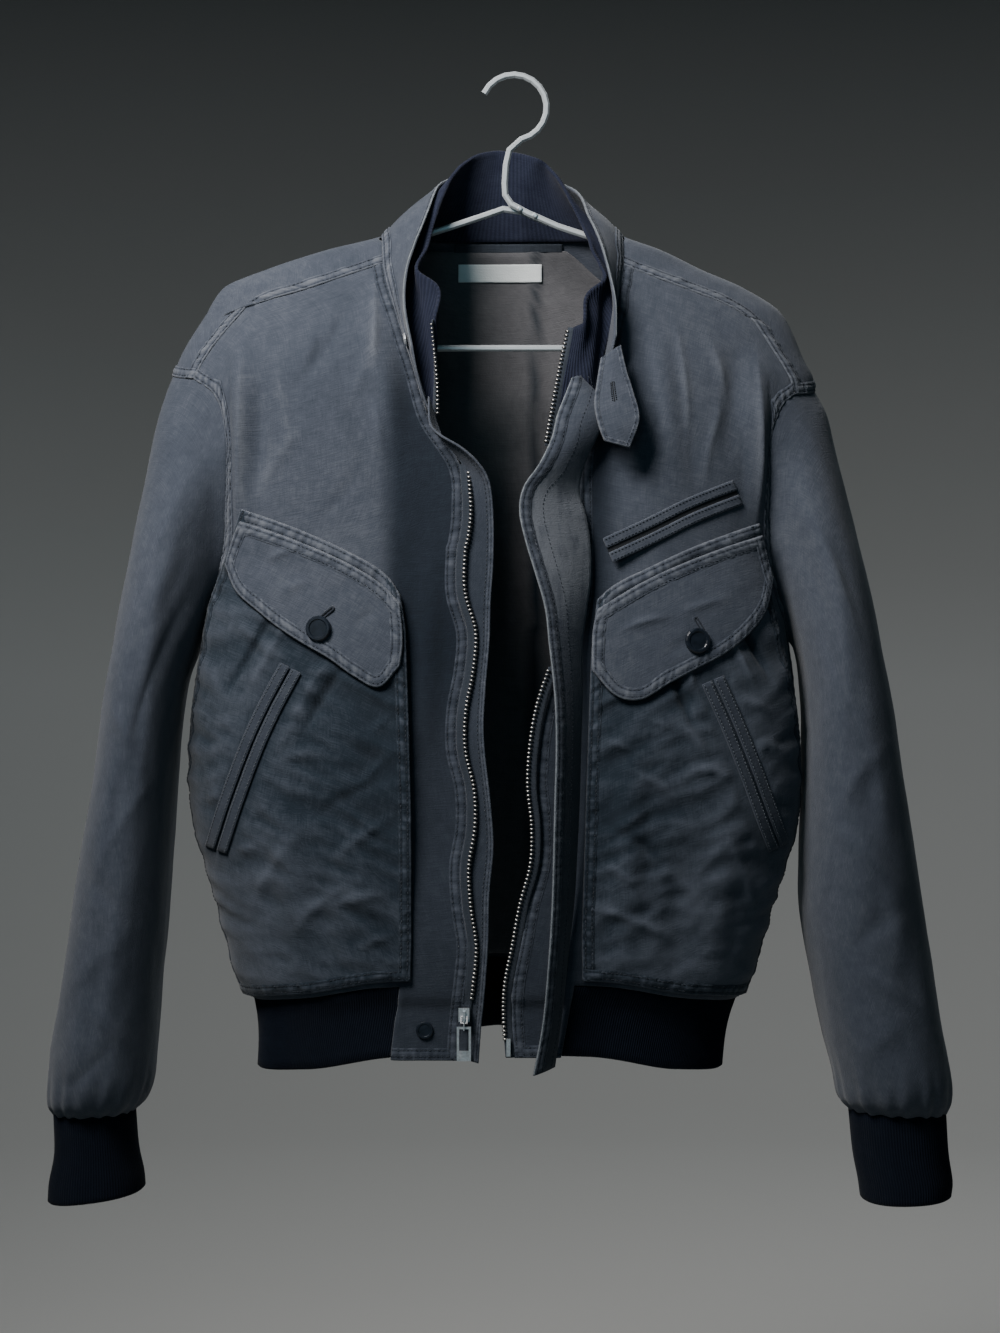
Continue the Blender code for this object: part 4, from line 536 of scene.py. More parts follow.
def relief(point, angle):
    """How far the broad folds lift the face at a point."""
    ahead = np.cos(np.radians(angle))
    across, drop = point[..., 0], -point[..., 2]
    total = np.zeros(drop.shape)
    for face, sign in FACES.items():
        total += np.where(sign * ahead > 0, fold(FOLDS[face], across, drop), 0.0)
    return total


def beside_zips(across, right, left):
    """1 beside the right and the left zip, and 0 from so far out."""
    return (smooth(across, *right) * (across < CENTRE_X),
            (1 - smooth(across, *left)) * (across > CENTRE_X))


def falls_back(across, drop):
    """Beside each zip the fronts fall back a little from a sharp upright fold."""
    right, left = beside_zips(across, (-108, -52), (62, 112))
    return -(9.0 * right + 5.0 * left) * smooth(drop, 160, 215) * (1 - smooth(drop, 560, 660))


def fine_relief(point, angle):
    """The smaller creases, listed one by one, and the cloth's uneven drape between them."""
    ahead = np.cos(np.radians(angle))
    across, drop = point[..., 0], -point[..., 2]
    waves = 0.5 * noise(across / 46, drop / 75, 11) + 0.22 * noise(across / 17, drop / 26, 12)
    total = np.zeros(drop.shape)
    for face, sign in FACES.items():
        fade = smooth(sign * ahead, 0.05, 0.3)
        total += crease(CREASES[face], across, drop) * fade
        total += waves * fade * (0.8 if face == "front" else 1.3)
        if face == "front":
            total += falls_back(across, drop) * fade
    return total


def surface(angle, drop, lift=0.0, fine=False):
    """A point of the jacket's outer face, lifted off it by so much."""
    point = body(angle, drop)
    out = relief(point, angle) + lift
    if fine:
        out = out + fine_relief(point, angle)
    return point + normal(angle, drop) * np.asarray(out)[..., None]


def front_points(x, drop, lift):
    """Points of the front at arrays of x and drop."""
    return surface(angles_at(x, drop), drop, lift)


def hem_seam(angle):
    """Drop of the hem seam: lower at the sides than at the front strips and the back."""
    turn = abs((angle + 180) % 360 - 180)
    table = ((0, 681), (22, 683), (45, 694), (70, 697), (100, 697), (135, 689), (180, 674))
    return look_up(table, turn)[..., 0]


# ---- making meshes

UV_SCALE = 0.01      # texture units to a millimetre of cloth
RIM_BULGE = 0.45     # how far a rim bulges, as a share of the thickness
RIM_WEAR = 0.6       # how much more worn a free rim is


def make(name, points, quads, look, wear=None, flat=None):
    """A mesh object from points in millimetres and four-cornered faces."""
    mesh = bpy.data.meshes.new(name)
    points = np.asarray(points, np.float32)
    quads = np.asarray(quads, np.int32)
    mesh.vertices.add(len(points))
    mesh.vertices.foreach_set("co", (points * MM).astype(np.float32).ravel())
    mesh.loops.add(quads.size)
    mesh.loops.foreach_set("vertex_index", quads.ravel())
    mesh.polygons.add(len(quads))
    starts = np.arange(0, quads.size, quads.shape[1], dtype=np.int32)
    mesh.polygons.foreach_set("loop_start", starts)
    mesh.update(calc_edges=True)
    # By point: paler where worn or with a painted highlight, and painted shade below 0
    if wear is None:
        wear = np.zeros(len(points))
    wear_or_shading = mesh.attributes.new("wear", "FLOAT", "POINT")
    wear_or_shading.data.foreach_set("value", np.asarray(wear, np.float32))
    if flat is None:
        flat = points[:, [0, 2]]
    layer = mesh.uv_layers.new(name="cloth")
    corners = np.asarray(flat, np.float32)[quads.ravel()] * UV_SCALE
    layer.data.foreach_set("uv", corners.ravel())
    mesh.shade_smooth()
    mesh.materials.append(look)
    piece = bpy.data.objects.new(name, mesh)
    bpy.context.scene.collection.objects.link(piece)
    return piece


def lengths(grid):
    """Across and down lengths along the cloth at each point of a grid."""
    right = np.linalg.norm(np.diff(grid, axis=1), axis=2)
    fall = np.linalg.norm(np.diff(grid, axis=0), axis=2)
    zero = np.zeros((grid.shape[0], 1)), np.zeros((1, grid.shape[1]))
    return (np.cumsum(np.concatenate([zero[0], right], axis=1), axis=1),
            np.cumsum(np.concatenate([zero[1], fall], axis=0), axis=0))


def caps(count):
    """Four-cornered faces, by number, that close a ring of an even count of points."""
    return np.array([[k, k + 1, count - 2 - k, count - 1 - k] for k in range(count // 2 - 1)])


def shell(name, grid, thickness, look, wrap=False, kept=None, wear=None, free=1.0, base=None):
    """A closed thin wall: the grid is its outer face, and its rims are rounded. A ribbed
    grid has a smooth base, from which its inner face is made."""
    rows, columns = grid.shape[:2]
    normals = grid_normals(grid if base is None else base, wrap)
    number = np.arange(rows * columns).reshape(rows, columns)
    if wrap:
        number = np.concatenate([number, number[:, :1]], axis=1)
    quads = np.stack([number[:-1, :-1], number[1:, :-1], number[1:, 1:], number[:-1, 1:]], -1)
    if kept is not None:
        quads = quads[kept]
    quads = quads.reshape(-1, 4)
    count = rows * columns
    outer = grid.reshape(-1, 3)
    out = normals.reshape(-1, 3)
    inner = (grid if base is None else base).reshape(-1, 3) - out * thickness
    sides = np.concatenate([quads[:, [k, (k + 1) % 4]] for k in range(4)])
    key = sides.min(1).astype(np.int64) * count + sides.max(1)
    _, first, uses = np.unique(key, return_index=True, return_counts=True)
    rim = sides[first[uses == 1]]
    away = np.zeros((count, 3))
    push = unit(np.cross(outer[rim[:, 1]] - outer[rim[:, 0]], out[rim[:, 0]]))
    np.add.at(away, rim[:, 0], push)
    np.add.at(away, rim[:, 1], push)
    on_rim = np.unique(rim)
    middle = (outer[on_rim] + inner[on_rim]) / 2 + unit(away[on_rim]) * thickness * RIM_BULGE
    spot = np.zeros(count, int)
    spot[on_rim] = 2 * count + np.arange(len(on_rim))
    a, b = rim[:, 0], rim[:, 1]
    faces = np.concatenate([
        quads, quads[:, ::-1] + count,
        np.stack([b, a, spot[a], spot[b]], -1),
        np.stack([spot[b], spot[a], a + count, b + count], -1),
    ])
    across, down = lengths(grid)
    flat = np.stack([across.ravel(), down.ravel()], -1)
    wear_or_shading = np.zeros(count) if wear is None else np.asarray(wear, float).ravel().copy()
    wear_or_shading = np.concatenate([wear_or_shading, wear_or_shading, wear_or_shading[on_rim] + RIM_WEAR * free])
    points = np.concatenate([outer, inner, middle])
    flat = np.concatenate([flat, flat, flat[on_rim]])
    used, faces = np.unique(faces, return_inverse=True)
    faces = faces.reshape(-1, 4)
    return make(name, points[used], faces, look, wear_or_shading[used], flat[used])


def keep(piece, nodes=()):
    """A piece that rides on the jacket, and stands for these CAD nodes."""
    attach(piece, "jacket")
    if nodes:
        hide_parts(*nodes)
    return piece


def cover(name, grid, nodes=(), look="cloth", thickness=CLOTH, slot=None, **more):
    """A piece of cloth in the place of these CAD nodes."""
    return keep(shell(name, grid, thickness, LOOKS[look], **more), nodes)


# ---- regions of the panels

def coons(left, right, top, bottom):
    """Fill a four-sided region of (angle, drop) from its edges. The sides share corners,
    and the curves of the top and bottom edges soon fade out away from them."""
    left, right, top, bottom = (np.asarray(edge, float) for edge in (left, right, top, bottom))
    t = np.linspace(0, 1, len(left))[:, None, None]
    s = np.linspace(0, 1, len(top))[None, :, None]
    filled = mix(left[:, None], right[:, None], s)
    for edge, fade in ((top, (1 - t) ** EDGE_FADE), (bottom, t ** EDGE_FADE)):
        filled = filled + (edge[None] - mix(edge[0], edge[-1], s)) * fade
    return filled


def arm_angle(side, station, face="front"):
    """(angle, drop) of an armhole station."""
    if station == 1:
        return mix(arm_angle(side, 0, face), arm_angle(side, 2, face), 0.5)
    drop, share = ARMHOLES[side][station - 1 if station else 0]
    square = look_up(RINGS, drop)[-1]
    return np.array([angle_of_share(SIGN[side] * share, square, face), drop])


def side_line(side, face, full=0):
    """An armhole and the side seam below it, in (angle, drop)."""
    line = [arm_angle(side, station, face) for station in range(YOKE_STATION, ARM_STEPS + 1)]
    under = line[-1][1]
    for step in range(1, FRONT_ROWS_BELOW + 1):
        drop = under + (HEM_SIDE - under) * (step / FRONT_ROWS_BELOW)
        line.append((SIGN[side] * SIDE, drop))
    return np.array(line) + np.array([full, 0])


def yoke_seam(side):
    """The yoke's front seam in (angle, drop), from the armhole to the neck."""
    start = arm_angle(side, YOKE_STATION)
    x = body(*start)[0]
    sign = SIGN[side]
    path = along(((x, start[1]),) + YOKE_SEAMS[side], 4 * YOKE_COLUMNS)
    table = [(-sign * angle_at(x, drop), drop) for x, drop in path]
    turns = np.linspace(table[0][0], table[-1][0], YOKE_COLUMNS + 1)
    seam = np.column_stack([-sign * turns, look_up(table, turns)[:, 0]])
    seam[0] = start
    return seam


def front_region(side):
    """A front panel in (angle, drop): from the armhole and side seam to its zip edge, with
    the woven strip that runs on past the hem seam. Its columns run towards the zip."""
    sign = SIGN[side]
    strip_angle = angle_at(STRIP_X[side][0], STRIP_TOP[side])
    outer = side_line(side, "front")
    top = yoke_seam(side)
    down = (outer[:, 1] - outer[0, 1]) / (outer[-1, 1] - outer[0, 1])
    lower = top[-1][1] + (STRIP_TOP[side] - top[-1][1]) * down
    edge = look_up(FRONT_EDGES[side], lower)[:, 0]
    inner = np.column_stack([angles_at(edge, lower), lower])
    bottom = []
    for j in range(FRONT_COLUMNS + 1):
        if j <= STRIP_COLUMN:
            angle = sign * SIDE + (strip_angle - sign * SIDE) * j / STRIP_COLUMN
        else:
            angle = mix(strip_angle, inner[-1][0], (j - STRIP_COLUMN) / STRIP_COLUMNS)
        bottom.append((angle, mix(hem_seam(angle), STRIP_TOP[side], (j / FRONT_COLUMNS) ** 4)))
    bottom = np.array(bottom)
    inner[-1] = bottom[-1]
    region = coons(outer, inner, top, bottom)
    for step in (0.45, 1.0):
        drop = STRIP_TOP[side] + (STRIP_BOTTOM[side] - STRIP_TOP[side]) * step
        left = angle_at(mix(*STRIP_X[side], step), drop)
        right = angle_at(look_up(FRONT_EDGES[side], drop)[0], drop)
        line = bottom + np.array([0, BAND * step])
        for j in range(STRIP_COLUMN, FRONT_COLUMNS + 1):
            line[j] = (mix(left, right, (j - STRIP_COLUMN) / STRIP_COLUMNS), drop)
        region = np.concatenate([region, line[None]])
    return region


def back_seam(share):
    """The yoke's back seam in (angle, drop), share 0 at the right armhole, 1 at the left."""
    start = arm_angle(RIGHT, YOKE_STATION, "back")
    end = arm_angle(LEFT, YOKE_STATION, "back")
    angle = start[0] + (end[0] - 360 - start[0]) * share
    side_drop = start[1] + (end[1] - start[1]) * share
    return np.array([angle, mix(BACK_SEAM_CENTRE, side_drop, abs(2 * share - 1) ** 2)])


def back_region():
    """The back panel in (angle, drop), under the yoke, between the armholes and the side
    seams. Its columns run from the right side round to the left."""
    right, left = side_line(RIGHT, "back"), side_line(LEFT, "back", -360)
    top = [back_seam(j / BACK_COLUMNS) for j in range(BACK_COLUMNS + 1)]
    bottom = [(angle, hem_seam(angle)) for angle in np.linspace(-SIDE, SIDE - 360, BACK_COLUMNS + 1)]
    right[-1], left[-1] = bottom[0], bottom[-1]
    return coons(right, left, top, bottom)


def shoulder_line(side, behind):
    """The ridge of a shoulder in (angle, drop), or a line behind it, from neck to armhole."""
    sign = SIGN[side]
    end = ARMHOLES[side][0][0]
    drops = np.linspace(120.0, end, 41)
    ridge = np.column_stack([body(sign * SIDE, drops)[:, 0], drops])
    share = np.linspace(0, 1, YOKE_COLUMNS + 1)
    drop = along(ridge, 200)[np.round(share * 200).astype(int), 1]
    if not behind:
        return np.column_stack([np.full(len(share), sign * SIDE), drop])
    last = arm_angle(side, YOKE_STATION, "back")
    return np.column_stack([mix(sign * 128, last[0], share), drop + mix(-1.0, last[1] - end, share)])


def pulled_to_neck(line, start, end, weight):
    """Bring a column's first point onto the straight neck edge, and its others less so."""
    first = np.array([body(*start)[0], start[1]])
    last = np.array([body(*end)[0], end[1]])
    x, drop = mix(first, last, weight)
    shift = np.array([angle_at(x, drop), drop]) - line[0]
    return line + shift * (1 - np.linspace(0, 1, len(line))[:, None]) ** 3


def yoke_columns():
    """The yoke in (angle, drop): columns fan out from the neck seam, from the right front
    seam over the shoulder, round the back and over to the left front seam."""
    fans = []
    for side in (RIGHT, LEFT):
        full = np.array([0 if side == RIGHT else -360, 0])
        seam = yoke_seam(side)[::-1]
        ridge, rear = shoulder_line(side, False), shoulder_line(side, True)
        fan = []
        for weight in (0, 0.25, 0.5, 0.75):
            line = mix(seam, ridge, weight)
            fan.append(pulled_to_neck(line, seam[0], ridge[0], weight) + full)
        for weight in (0, 0.25, 0.5, 0.75, 1):
            fan.append(mix(ridge, rear, weight) + full)
        fans.append(fan)
    right, left = fans
    rear_right, rear_left = right[-1], left[-1]
    middle = []
    t = np.linspace(0, 1, YOKE_COLUMNS + 1)
    for j in range(1, BACK_COLUMNS):
        share = j / BACK_COLUMNS
        foot = back_seam(share)
        edge = abs(2 * share - 1) ** 1.5
        near = rear_right if share < 0.5 else rear_left
        neck_angle = rear_right[0][0] + (rear_left[0][0] - rear_right[0][0]) * share
        rise = (near[:, 1] - near[0][1]) / (near[-1][1] - near[0][1])
        drops = near[0][1] + (foot[1] - near[0][1]) * mix(t, rise, edge)
        middle.append(np.column_stack([neck_angle + (foot[0] - neck_angle) * t, drops]))
    return np.array(right + middle + left[::-1])


def patch_region(side):
    sign = SIGN[side]
    shape = PATCHES[side]
    outer = list(spots(shape["outer"], 4))
    foot = hem_seam(PATCH_SIDE) - PATCH_FOOT
    start = outer[4]
    for step in range(1, PATCH_ROWS - 3):
        share = step / (PATCH_ROWS - 4)
        angle = abs(start[0]) + (PATCH_SIDE - abs(start[0])) * min(1, share * 2) ** 1.5
        outer.append(np.array([sign * angle, start[1] + (foot - start[1]) * share]))
    inner = spots(shape["inner"], PATCH_ROWS)
    top = spots(shape["top"], PATCH_COLUMNS)
    bottom = []
    for angle in np.linspace(outer[-1][0], inner[-1][0], PATCH_COLUMNS + 1):
        bottom.append((angle, hem_seam(angle) - PATCH_FOOT))
    inner[-1], outer[0], inner[0] = bottom[-1], top[0], top[-1]
    return coons(outer, inner, top, bottom)


def flap_region(side):
    shape = FLAPS[side]
    top = spots(shape["top"], FLAP_COLUMNS)
    bottom = spots(shape["bottom"], FLAP_COLUMNS)
    outer = spots(shape["outer"], FLAP_ROWS)
    inner = spots(shape["inner"], FLAP_ROWS)
    outer[0], outer[-1], inner[0], inner[-1] = top[0], bottom[0], top[-1], bottom[-1]
    return coons(outer, inner, top, bottom)


def patch_lift(angle, drop):
    """How far a patch's outer face stands off the front: fuller in its middle."""
    inner, foot = 17.0, 690
    across = np.clip((np.abs(angle) - inner) / (PATCH_SIDE - inner), 0, 1)
    top = mix(400, 335, across)
    down = np.clip((drop - top) / (foot - top), 0, 1)
    full = np.clip(np.sin(math.pi * across) * np.sin(math.pi * down), 0, None) ** 0.8
    return LAY + CLOTH + 0.4 + 1.0 * across ** 2 + PATCH_FULLNESS * full


def armhole_loop(side):
    """The armhole seam's points, from its top round the front and back up."""
    stations = [arm_angle(side, station) for station in range(ARM_STEPS + 1)]
    for station in range(ARM_STEPS - 1, 0, -1):
        stations.append(arm_angle(side, station, "back"))
    stations = np.array(stations)
    return surface(stations[:, 0], stations[:, 1])


def section(outer, inner, depth, angle, square=2.3):
    """Points of a rounded section between its outer and inner points."""
    across, ahead = np.cos(np.radians(angle)), np.sin(np.radians(angle))
    scale = (np.abs(across) ** square + np.abs(ahead) ** square) ** (1 / square)
    out = (outer - inner) / 2 * (across / scale)[:, None]
    return (outer + inner) / 2 + out + np.array([0, -depth, 0]) * (ahead / scale)[:, None]


def sleeve_grid(side):
    """A sleeve's coarse grid: its sections fan out from the armhole seam."""
    loop = armhole_loop(side)
    top, under = loop[0], loop[ARM_STEPS]
    run = top - under
    inward = np.array([1.0 if side == RIGHT else -1.0, 0, 0])
    share = (loop - under) @ run / (run @ run)
    off = loop - under - run * share[:, None]
    aside, bulge = off[:, 1], off @ inward
    angle = 360 * np.arange(AROUND) / AROUND
    grid = [loop]
    for number, (ox, odrop, ix, idrop, depth) in enumerate(SLEEVES[side]):
        outer, inner = place(ox, 0, odrop), place(ix, 0, idrop)
        weight = SEAM_SHAPE_KEPT[number + 1] if number + 1 < len(SEAM_SHAPE_KEPT) else 0.0
        plain = section(outer, inner, depth, angle)
        like = inner + (outer - inner) * share[:, None] + inward * bulge[:, None]
        like = like + np.array([0, 1.0, 0]) * (aside * depth / 46)[:, None]
        points = mix(plain, like, weight)
        rows = []
        for a0, d0, a1, d1, half_width, height in SLEEVE_FOLDS[side]:
            rows.append((math.radians(a0) * 60, d0, math.radians(a1) * 60, d1, half_width, height))
        if 0 < number < len(SLEEVES[side]) - 1:
            lift = fold(rows, np.radians(angle) * 60, -points[:, 2])
            out = points - (outer + inner) / 2
            out[:, 2] = 0
            points = points + unit(out) * lift[:, None]
        grid.append(points)
    return np.array(grid)


def cuff_grid(side):
    angle = 360 * np.arange(AROUND) / AROUND
    return np.array([section(place(ox, 0, odrop), place(ix, 0, idrop), depth, angle)
                     for ox, odrop, ix, idrop, depth in CUFFS[side]])


def neck_seam():
    """The neck seam's points at the panels' own stations, from the right front round the
    back to the left, and each one's share of the way."""
    fronts = []
    for side, full in ((RIGHT, 0), (LEFT, -360)):
        edge = front_region(side)[:, -1]
        fronts.append(edge[edge[:, 1] < NECK_END[side] + 6] + np.array([full, 0]))
    columns = yoke_columns()[:, 0]
    count = (len(columns) - BACK_COLUMNS + 1) // 2
    middle = columns[count:len(columns) - count][NECK_SKIPPED - 1::NECK_SKIPPED]
    path = np.concatenate([fronts[0][::-1], columns[1:count], middle, columns[-count:-1],
                           fronts[1]])
    points = surface(path[:, 0], path[:, 1])
    length = run_length(points)
    return points, length / length[-1]


def collar_grids():
    """Coarse grids of the woven collar and the knit one, with their columns from the
    right front round to the left."""
    foot, share = neck_seam()
    top = look_up(COLLAR_TOP, share) * np.array([1, 1, -1])
    rim = look_up(KNIT_RIM, share) * np.array([1, 1, -1])
    rise = unit(top - foot)
    out = (foot - np.array([CENTRE_X, NECK_CENTRE_Y, 0])) * np.array([1, 1, 0])
    out = unit(out - rise * np.sum(out * rise, axis=1)[:, None])
    foot = foot + rise * COLLAR_RISE
    woven = [mix(foot, top, t) + out * 2.5 * math.sin(math.pi * t) for t in (1.0, 0.66, 0.33, 0.0)]
    inner = foot - out * (CLOTH + 1.0) + rise * 0.4
    knit = []
    end_top, end_foot = (np.array(row) * np.array([1, 1, -1.0]) for row in KNIT_END)
    for t in (1.0, 0.75, 0.5, 0.25, 0.0):
        line = mix(inner, rim, t) - out * 1.5 * math.sin(math.pi * t)
        knit.append(np.concatenate([line, mix(end_foot, end_top, t)[None]]))
    return np.array(woven)[:, ::-1], np.array(knit)[:, ::-1]


# ---- materials

def new_look(name, **settings):
    """A material, its node tree and its shader, with these settings."""
    look = bpy.data.materials.new(name)
    look.use_nodes = True
    shader = look.node_tree.nodes["Principled BSDF"]
    for key, value in settings.items():
        shader.inputs[key.replace("_", " ")].default_value = value
    return look, look.node_tree, shader


def add(tree, kind, output=0, inputs=(), **settings):
    """A new node's output. Its inputs, by name or number, are set or linked."""
    node = tree.nodes.new("ShaderNode" + kind)
    for key, value in settings.items():
        setattr(node, key, value)
    for key, value in dict(inputs).items():
        if isinstance(value, bpy.types.NodeSocket):
            tree.links.new(value, node.inputs[key])
        else:
            node.inputs[key].default_value = value
    return node.outputs[output]


def grain(tree, where, scale, detail, roughness=0.6):
    """Noise round a place."""
    inputs = {"Vector": where, "Scale": scale, "Detail": detail, "Roughness": roughness}
    return add(tree, "TexNoise", "Fac", inputs)


def stretched(tree, where, scale, offset):
    """A place, stretched and shifted."""
    inputs = {"Vector": where, "Scale": scale, "Location": offset}
    return add(tree, "Mapping", 0, inputs)


def calc(tree, operation, a, b, **settings):
    """Two values put together."""
    return add(tree, "Math", 0, {0: a, 1: b}, operation=operation, **settings)


def weighed(tree, value, weight, middle):
    """How far a value is from its middle, times a weight."""
    return calc(tree, "MULTIPLY", calc(tree, "SUBTRACT", value, middle), weight)


def spread(tree, value, low, high):
    """A value as its share of the way from low to high."""
    inputs = {"From Min": low, "From Max": high, "Value": value}
    return add(tree, "MapRange", "Result", inputs)


def ramp(tree, value, stops):
    """A colour between those at the stops."""
    node = tree.nodes.new("ShaderNodeValToRGB")
    elements = node.color_ramp.elements
    while len(elements) < len(stops):
        elements.new(0.5)
    for element, (at, colour) in zip(elements, stops):
        element.position = at
        element.color = (*colour, 1)
    tree.links.new(value, node.inputs["Fac"])
    return node.outputs["Color"]


def rough(tree, shader, height, strength, distance):
    """Bump from a height."""
    inputs = {"Strength": strength, "Distance": distance, "Height": height}
    tree.links.new(add(tree, "Bump", "Normal", inputs), shader.inputs["Normal"])


def woven(name, dark, base, light, bump=0.45, sheen=0.12, streak=1.0, shine=0.22):
    """Garment-dyed cotton: uneven dye, slubs along and across the weave, worn high spots with
    painted highlights, and painted shade.
    """
    look, tree, shader = new_look(name, Roughness=0.86, Specular_IOR_Level=shine,
                                  Sheen_Weight=sheen, Sheen_Roughness=0.55)
    spot = add(tree, "TexCoord", "Object")
    flat = add(tree, "UVMap", "UV", uv_map="cloth")
    wear = add(tree, "Attribute", "Fac", attribute_name="wear")
    large, mottle = grain(tree, spot, 9.0, 4.0), grain(tree, spot, 120.0, 5.0, 0.65)
    slubs = [grain(tree, stretched(tree, flat, size, (shift, 1.3, 0)), 1.0, 3.0)
             for size, shift in (((6.0, 110.0, 1.0), 0), ((100.0, 7.0, 1.0), 3.7))]
    dye_wear_and_highlight = weighed(tree, large, 0.35, 0.5)
    # Paler where the attribute is above 0: worn spots and painted highlights
    for value, weight, middle in ((mottle, 0.4, 0.5), (slubs[0], 0.42 * streak, 0.5),
                                  (slubs[1], 0.34 * streak, 0.5),
                                  (calc(tree, "MAXIMUM", wear, 0.0), 0.34, 0.0)):
        dye_wear_and_highlight = calc(tree, "ADD", dye_wear_and_highlight, weighed(tree, value, weight, middle))
    dye_wear_and_highlight = calc(tree, "ADD", dye_wear_and_highlight, 0.5, use_clamp=True)
    colour = ramp(tree, dye_wear_and_highlight, ((0.0, dark), (0.5, base), (1.0, light)))
    # Painted shade: below 0 the attribute darkens the colour towards DEEPEST
    shade = ramp(tree, spread(tree, wear, DARKEST_SHADE, 0.0), ((0.0, DEEPEST), (1.0, (1, 1, 1))))
    shaded = add(tree, "Mix", 2, {0: 1.0, 6: colour, 7: shade}, data_type="RGBA",
                 blend_type="MULTIPLY")
    tree.links.new(shaded, shader.inputs["Base Color"])
    weave = calc(tree, "ADD", grain(tree, spot, 900.0, 2.0, 0.5), slubs[0])
    rough(tree, shader, calc(tree, "ADD", weave, mottle), bump, 0.0006)
    return look


def plain(name, colour, roughness, metallic=0.0, bump=0.0, scale=300.0, vary=0.15):
    """A plain finish with a little unevenness in its colour and relief."""
    look, tree, shader = new_look(name, Roughness=roughness, Metallic=metallic)
    uneven = grain(tree, add(tree, "TexCoord", "Object"), scale, 4.0)
    low = tuple(c * (1 - vary) for c in colour)
    high = tuple(min(1.0, c * (1 + vary)) for c in colour)
    tree.links.new(ramp(tree, uneven, ((0.3, low), (0.7, high))), shader.inputs["Base Color"])
    if bump:
        rough(tree, shader, uneven, bump, 0.0004)
    return look


# The attribute is above 0 where cloth is worn paler or has a painted highlight, and below 0
# where it has painted shade. DEEPEST is what is left of a cloth's colour at the attribute's darkest
# value.
DARKEST_SHADE = -2.0
DEEPEST = (0.05, 0.13, 0.20)
# dark, base and light colour, and other settings
WOVEN = {
    "cloth": ((0.0042, 0.0120, 0.0225), (0.048, 0.057, 0.076), (0.125, 0.135, 0.155), {}),
    # A darker copy of the cloth, as painted shade, for the patches and their seams
    "cloth_dark": ((0.0025, 0.006, 0.011), (0.0090, 0.0176, 0.0278), (0.066, 0.077, 0.099), {}),
    "rib": ((0.001, 0.002, 0.005), (0.0030, 0.0058, 0.0125), (0.010, 0.016, 0.028),
            {"sheen": 0.03, "streak": 0.3, "shine": 0.1}),
    "knit": ((0.005, 0.007, 0.015), (0.0145, 0.018, 0.036), (0.042, 0.05, 0.078),
             {"sheen": 0.06, "streak": 0.3, "shine": 0.12}),
    "tape": ((0.010, 0.014, 0.020), (0.024, 0.031, 0.042), (0.06, 0.07, 0.09), {}),
    "lining": ((0.03, 0.031, 0.034), (0.095, 0.094, 0.1), (0.16, 0.158, 0.163), {"sheen": 0.05}),
    "label": ((0.62, 0.66, 0.65), (0.78, 0.82, 0.81), (0.88, 0.9, 0.89), {}),
    "thread": ((0.006, 0.009, 0.014), (0.016, 0.021, 0.030), (0.045, 0.053, 0.07), {}),
    "bright_thread": ((0.04, 0.047, 0.057), (0.085, 0.098, 0.112), (0.15, 0.165, 0.18), {}),
    "piping": ((0.05, 0.06, 0.075), (0.12, 0.135, 0.15), (0.24, 0.26, 0.28), {}),
}
# colour, roughness, metallic, bump, scale of its unevenness, how much it varies
PLAIN = {
    "button": ((0.009, 0.013, 0.020), 0.3, 0.0, 0.06, 180, 0.4),
    "metal": ((0.72, 0.73, 0.74), 0.28, 0.72, 0.05, 500, 0.2),
    "hanger": ((0.5, 0.53, 0.545), 0.38, 0.3, 0.05, 420, 0.05),
    # The rim's colour is the button's made lighter: a painted highlight
    "rim": ((0.036, 0.044, 0.054), 0.25, 0.0, 0.05, 200, 0.3),
    # A dark sheet of painted shade in slits and holes
    "hollow": ((0.004, 0.006, 0.009), 0.9),
    "teeth": ((0.36, 0.35, 0.33), 0.38, 1.0, 0.05, 600, 0.3),
}
LOOKS = {name: woven(name + "_look", *colours, **more)
         for name, (*colours, more) in WOVEN.items()}
LOOKS |= {name: plain(name + "_look", *finish) for name, finish in PLAIN.items()}


# ---- woven panels

DETAIL = 1
# Fine cells to a coarse one, down and across
FRONT_FINE = (7 // DETAIL, 7 // DETAIL)
BACK_FINE = (6 // DETAIL, 6 // DETAIL)
YOKE_FINE = (5 // DETAIL, 5 // DETAIL)
SLEEVE_FINE = (9 // DETAIL, 6 // DETAIL)
PATCH_FINE = (9 // DETAIL, 9 // DETAIL)
FLAP_FINE = (12 // DETAIL, 10 // DETAIL)
COLLAR_FINE = (8 // DETAIL, 6 // DETAIL)


def fine_region(region, down, across):
    region = refine(region, down, across)
    return region[..., 0], region[..., 1]


def faces_right(grid, side):
    return grid if side == RIGHT else grid[:, ::-1]


def front_grid(side):
    angle, drop = fine_region(front_region(side), *FRONT_FINE)
    return faces_right(surface(angle, drop, 0.0, True), side)


def front_tone(grid):
    """The fronts are darker beside the zips and lower down, as painted shade, with painted light on
    creases.
    """
    across, drop = grid[..., 0], -grid[..., 2]
    near = sum(beside_zips(across, (-104, -84), (60, 84)))
    # Painted highlights on the creases' ridges and painted shade in their troughs
    crests = 0.22 * crease(CREASES["front"], across, drop)
    shade = near * soft_steps(drop, (1.75, 190, 260), (-0.85, 420, 540))
    return crests - shade - soft_steps(drop, (0.35, 330, 520))


def make_fronts():
    for side in (RIGHT, LEFT):
        grid = front_grid(side)
        rows, columns = grid.shape[0] - 1, grid.shape[1] - 1
        row, column = np.indices((rows, columns))
        if side == LEFT:
            column = columns - 1 - column
        kept = (row < FRONT_ROWS * FRONT_FINE[0]) | (column >= STRIP_COLUMN * FRONT_FINE[1])
        cover("front_body_" + side, grid, ["front_" + side], kept=kept, wear=front_tone(grid))


def back_grid():
    angle, drop = fine_region(back_region(), *BACK_FINE)
    return surface(angle, drop, 0.0, True)[:, ::-1]


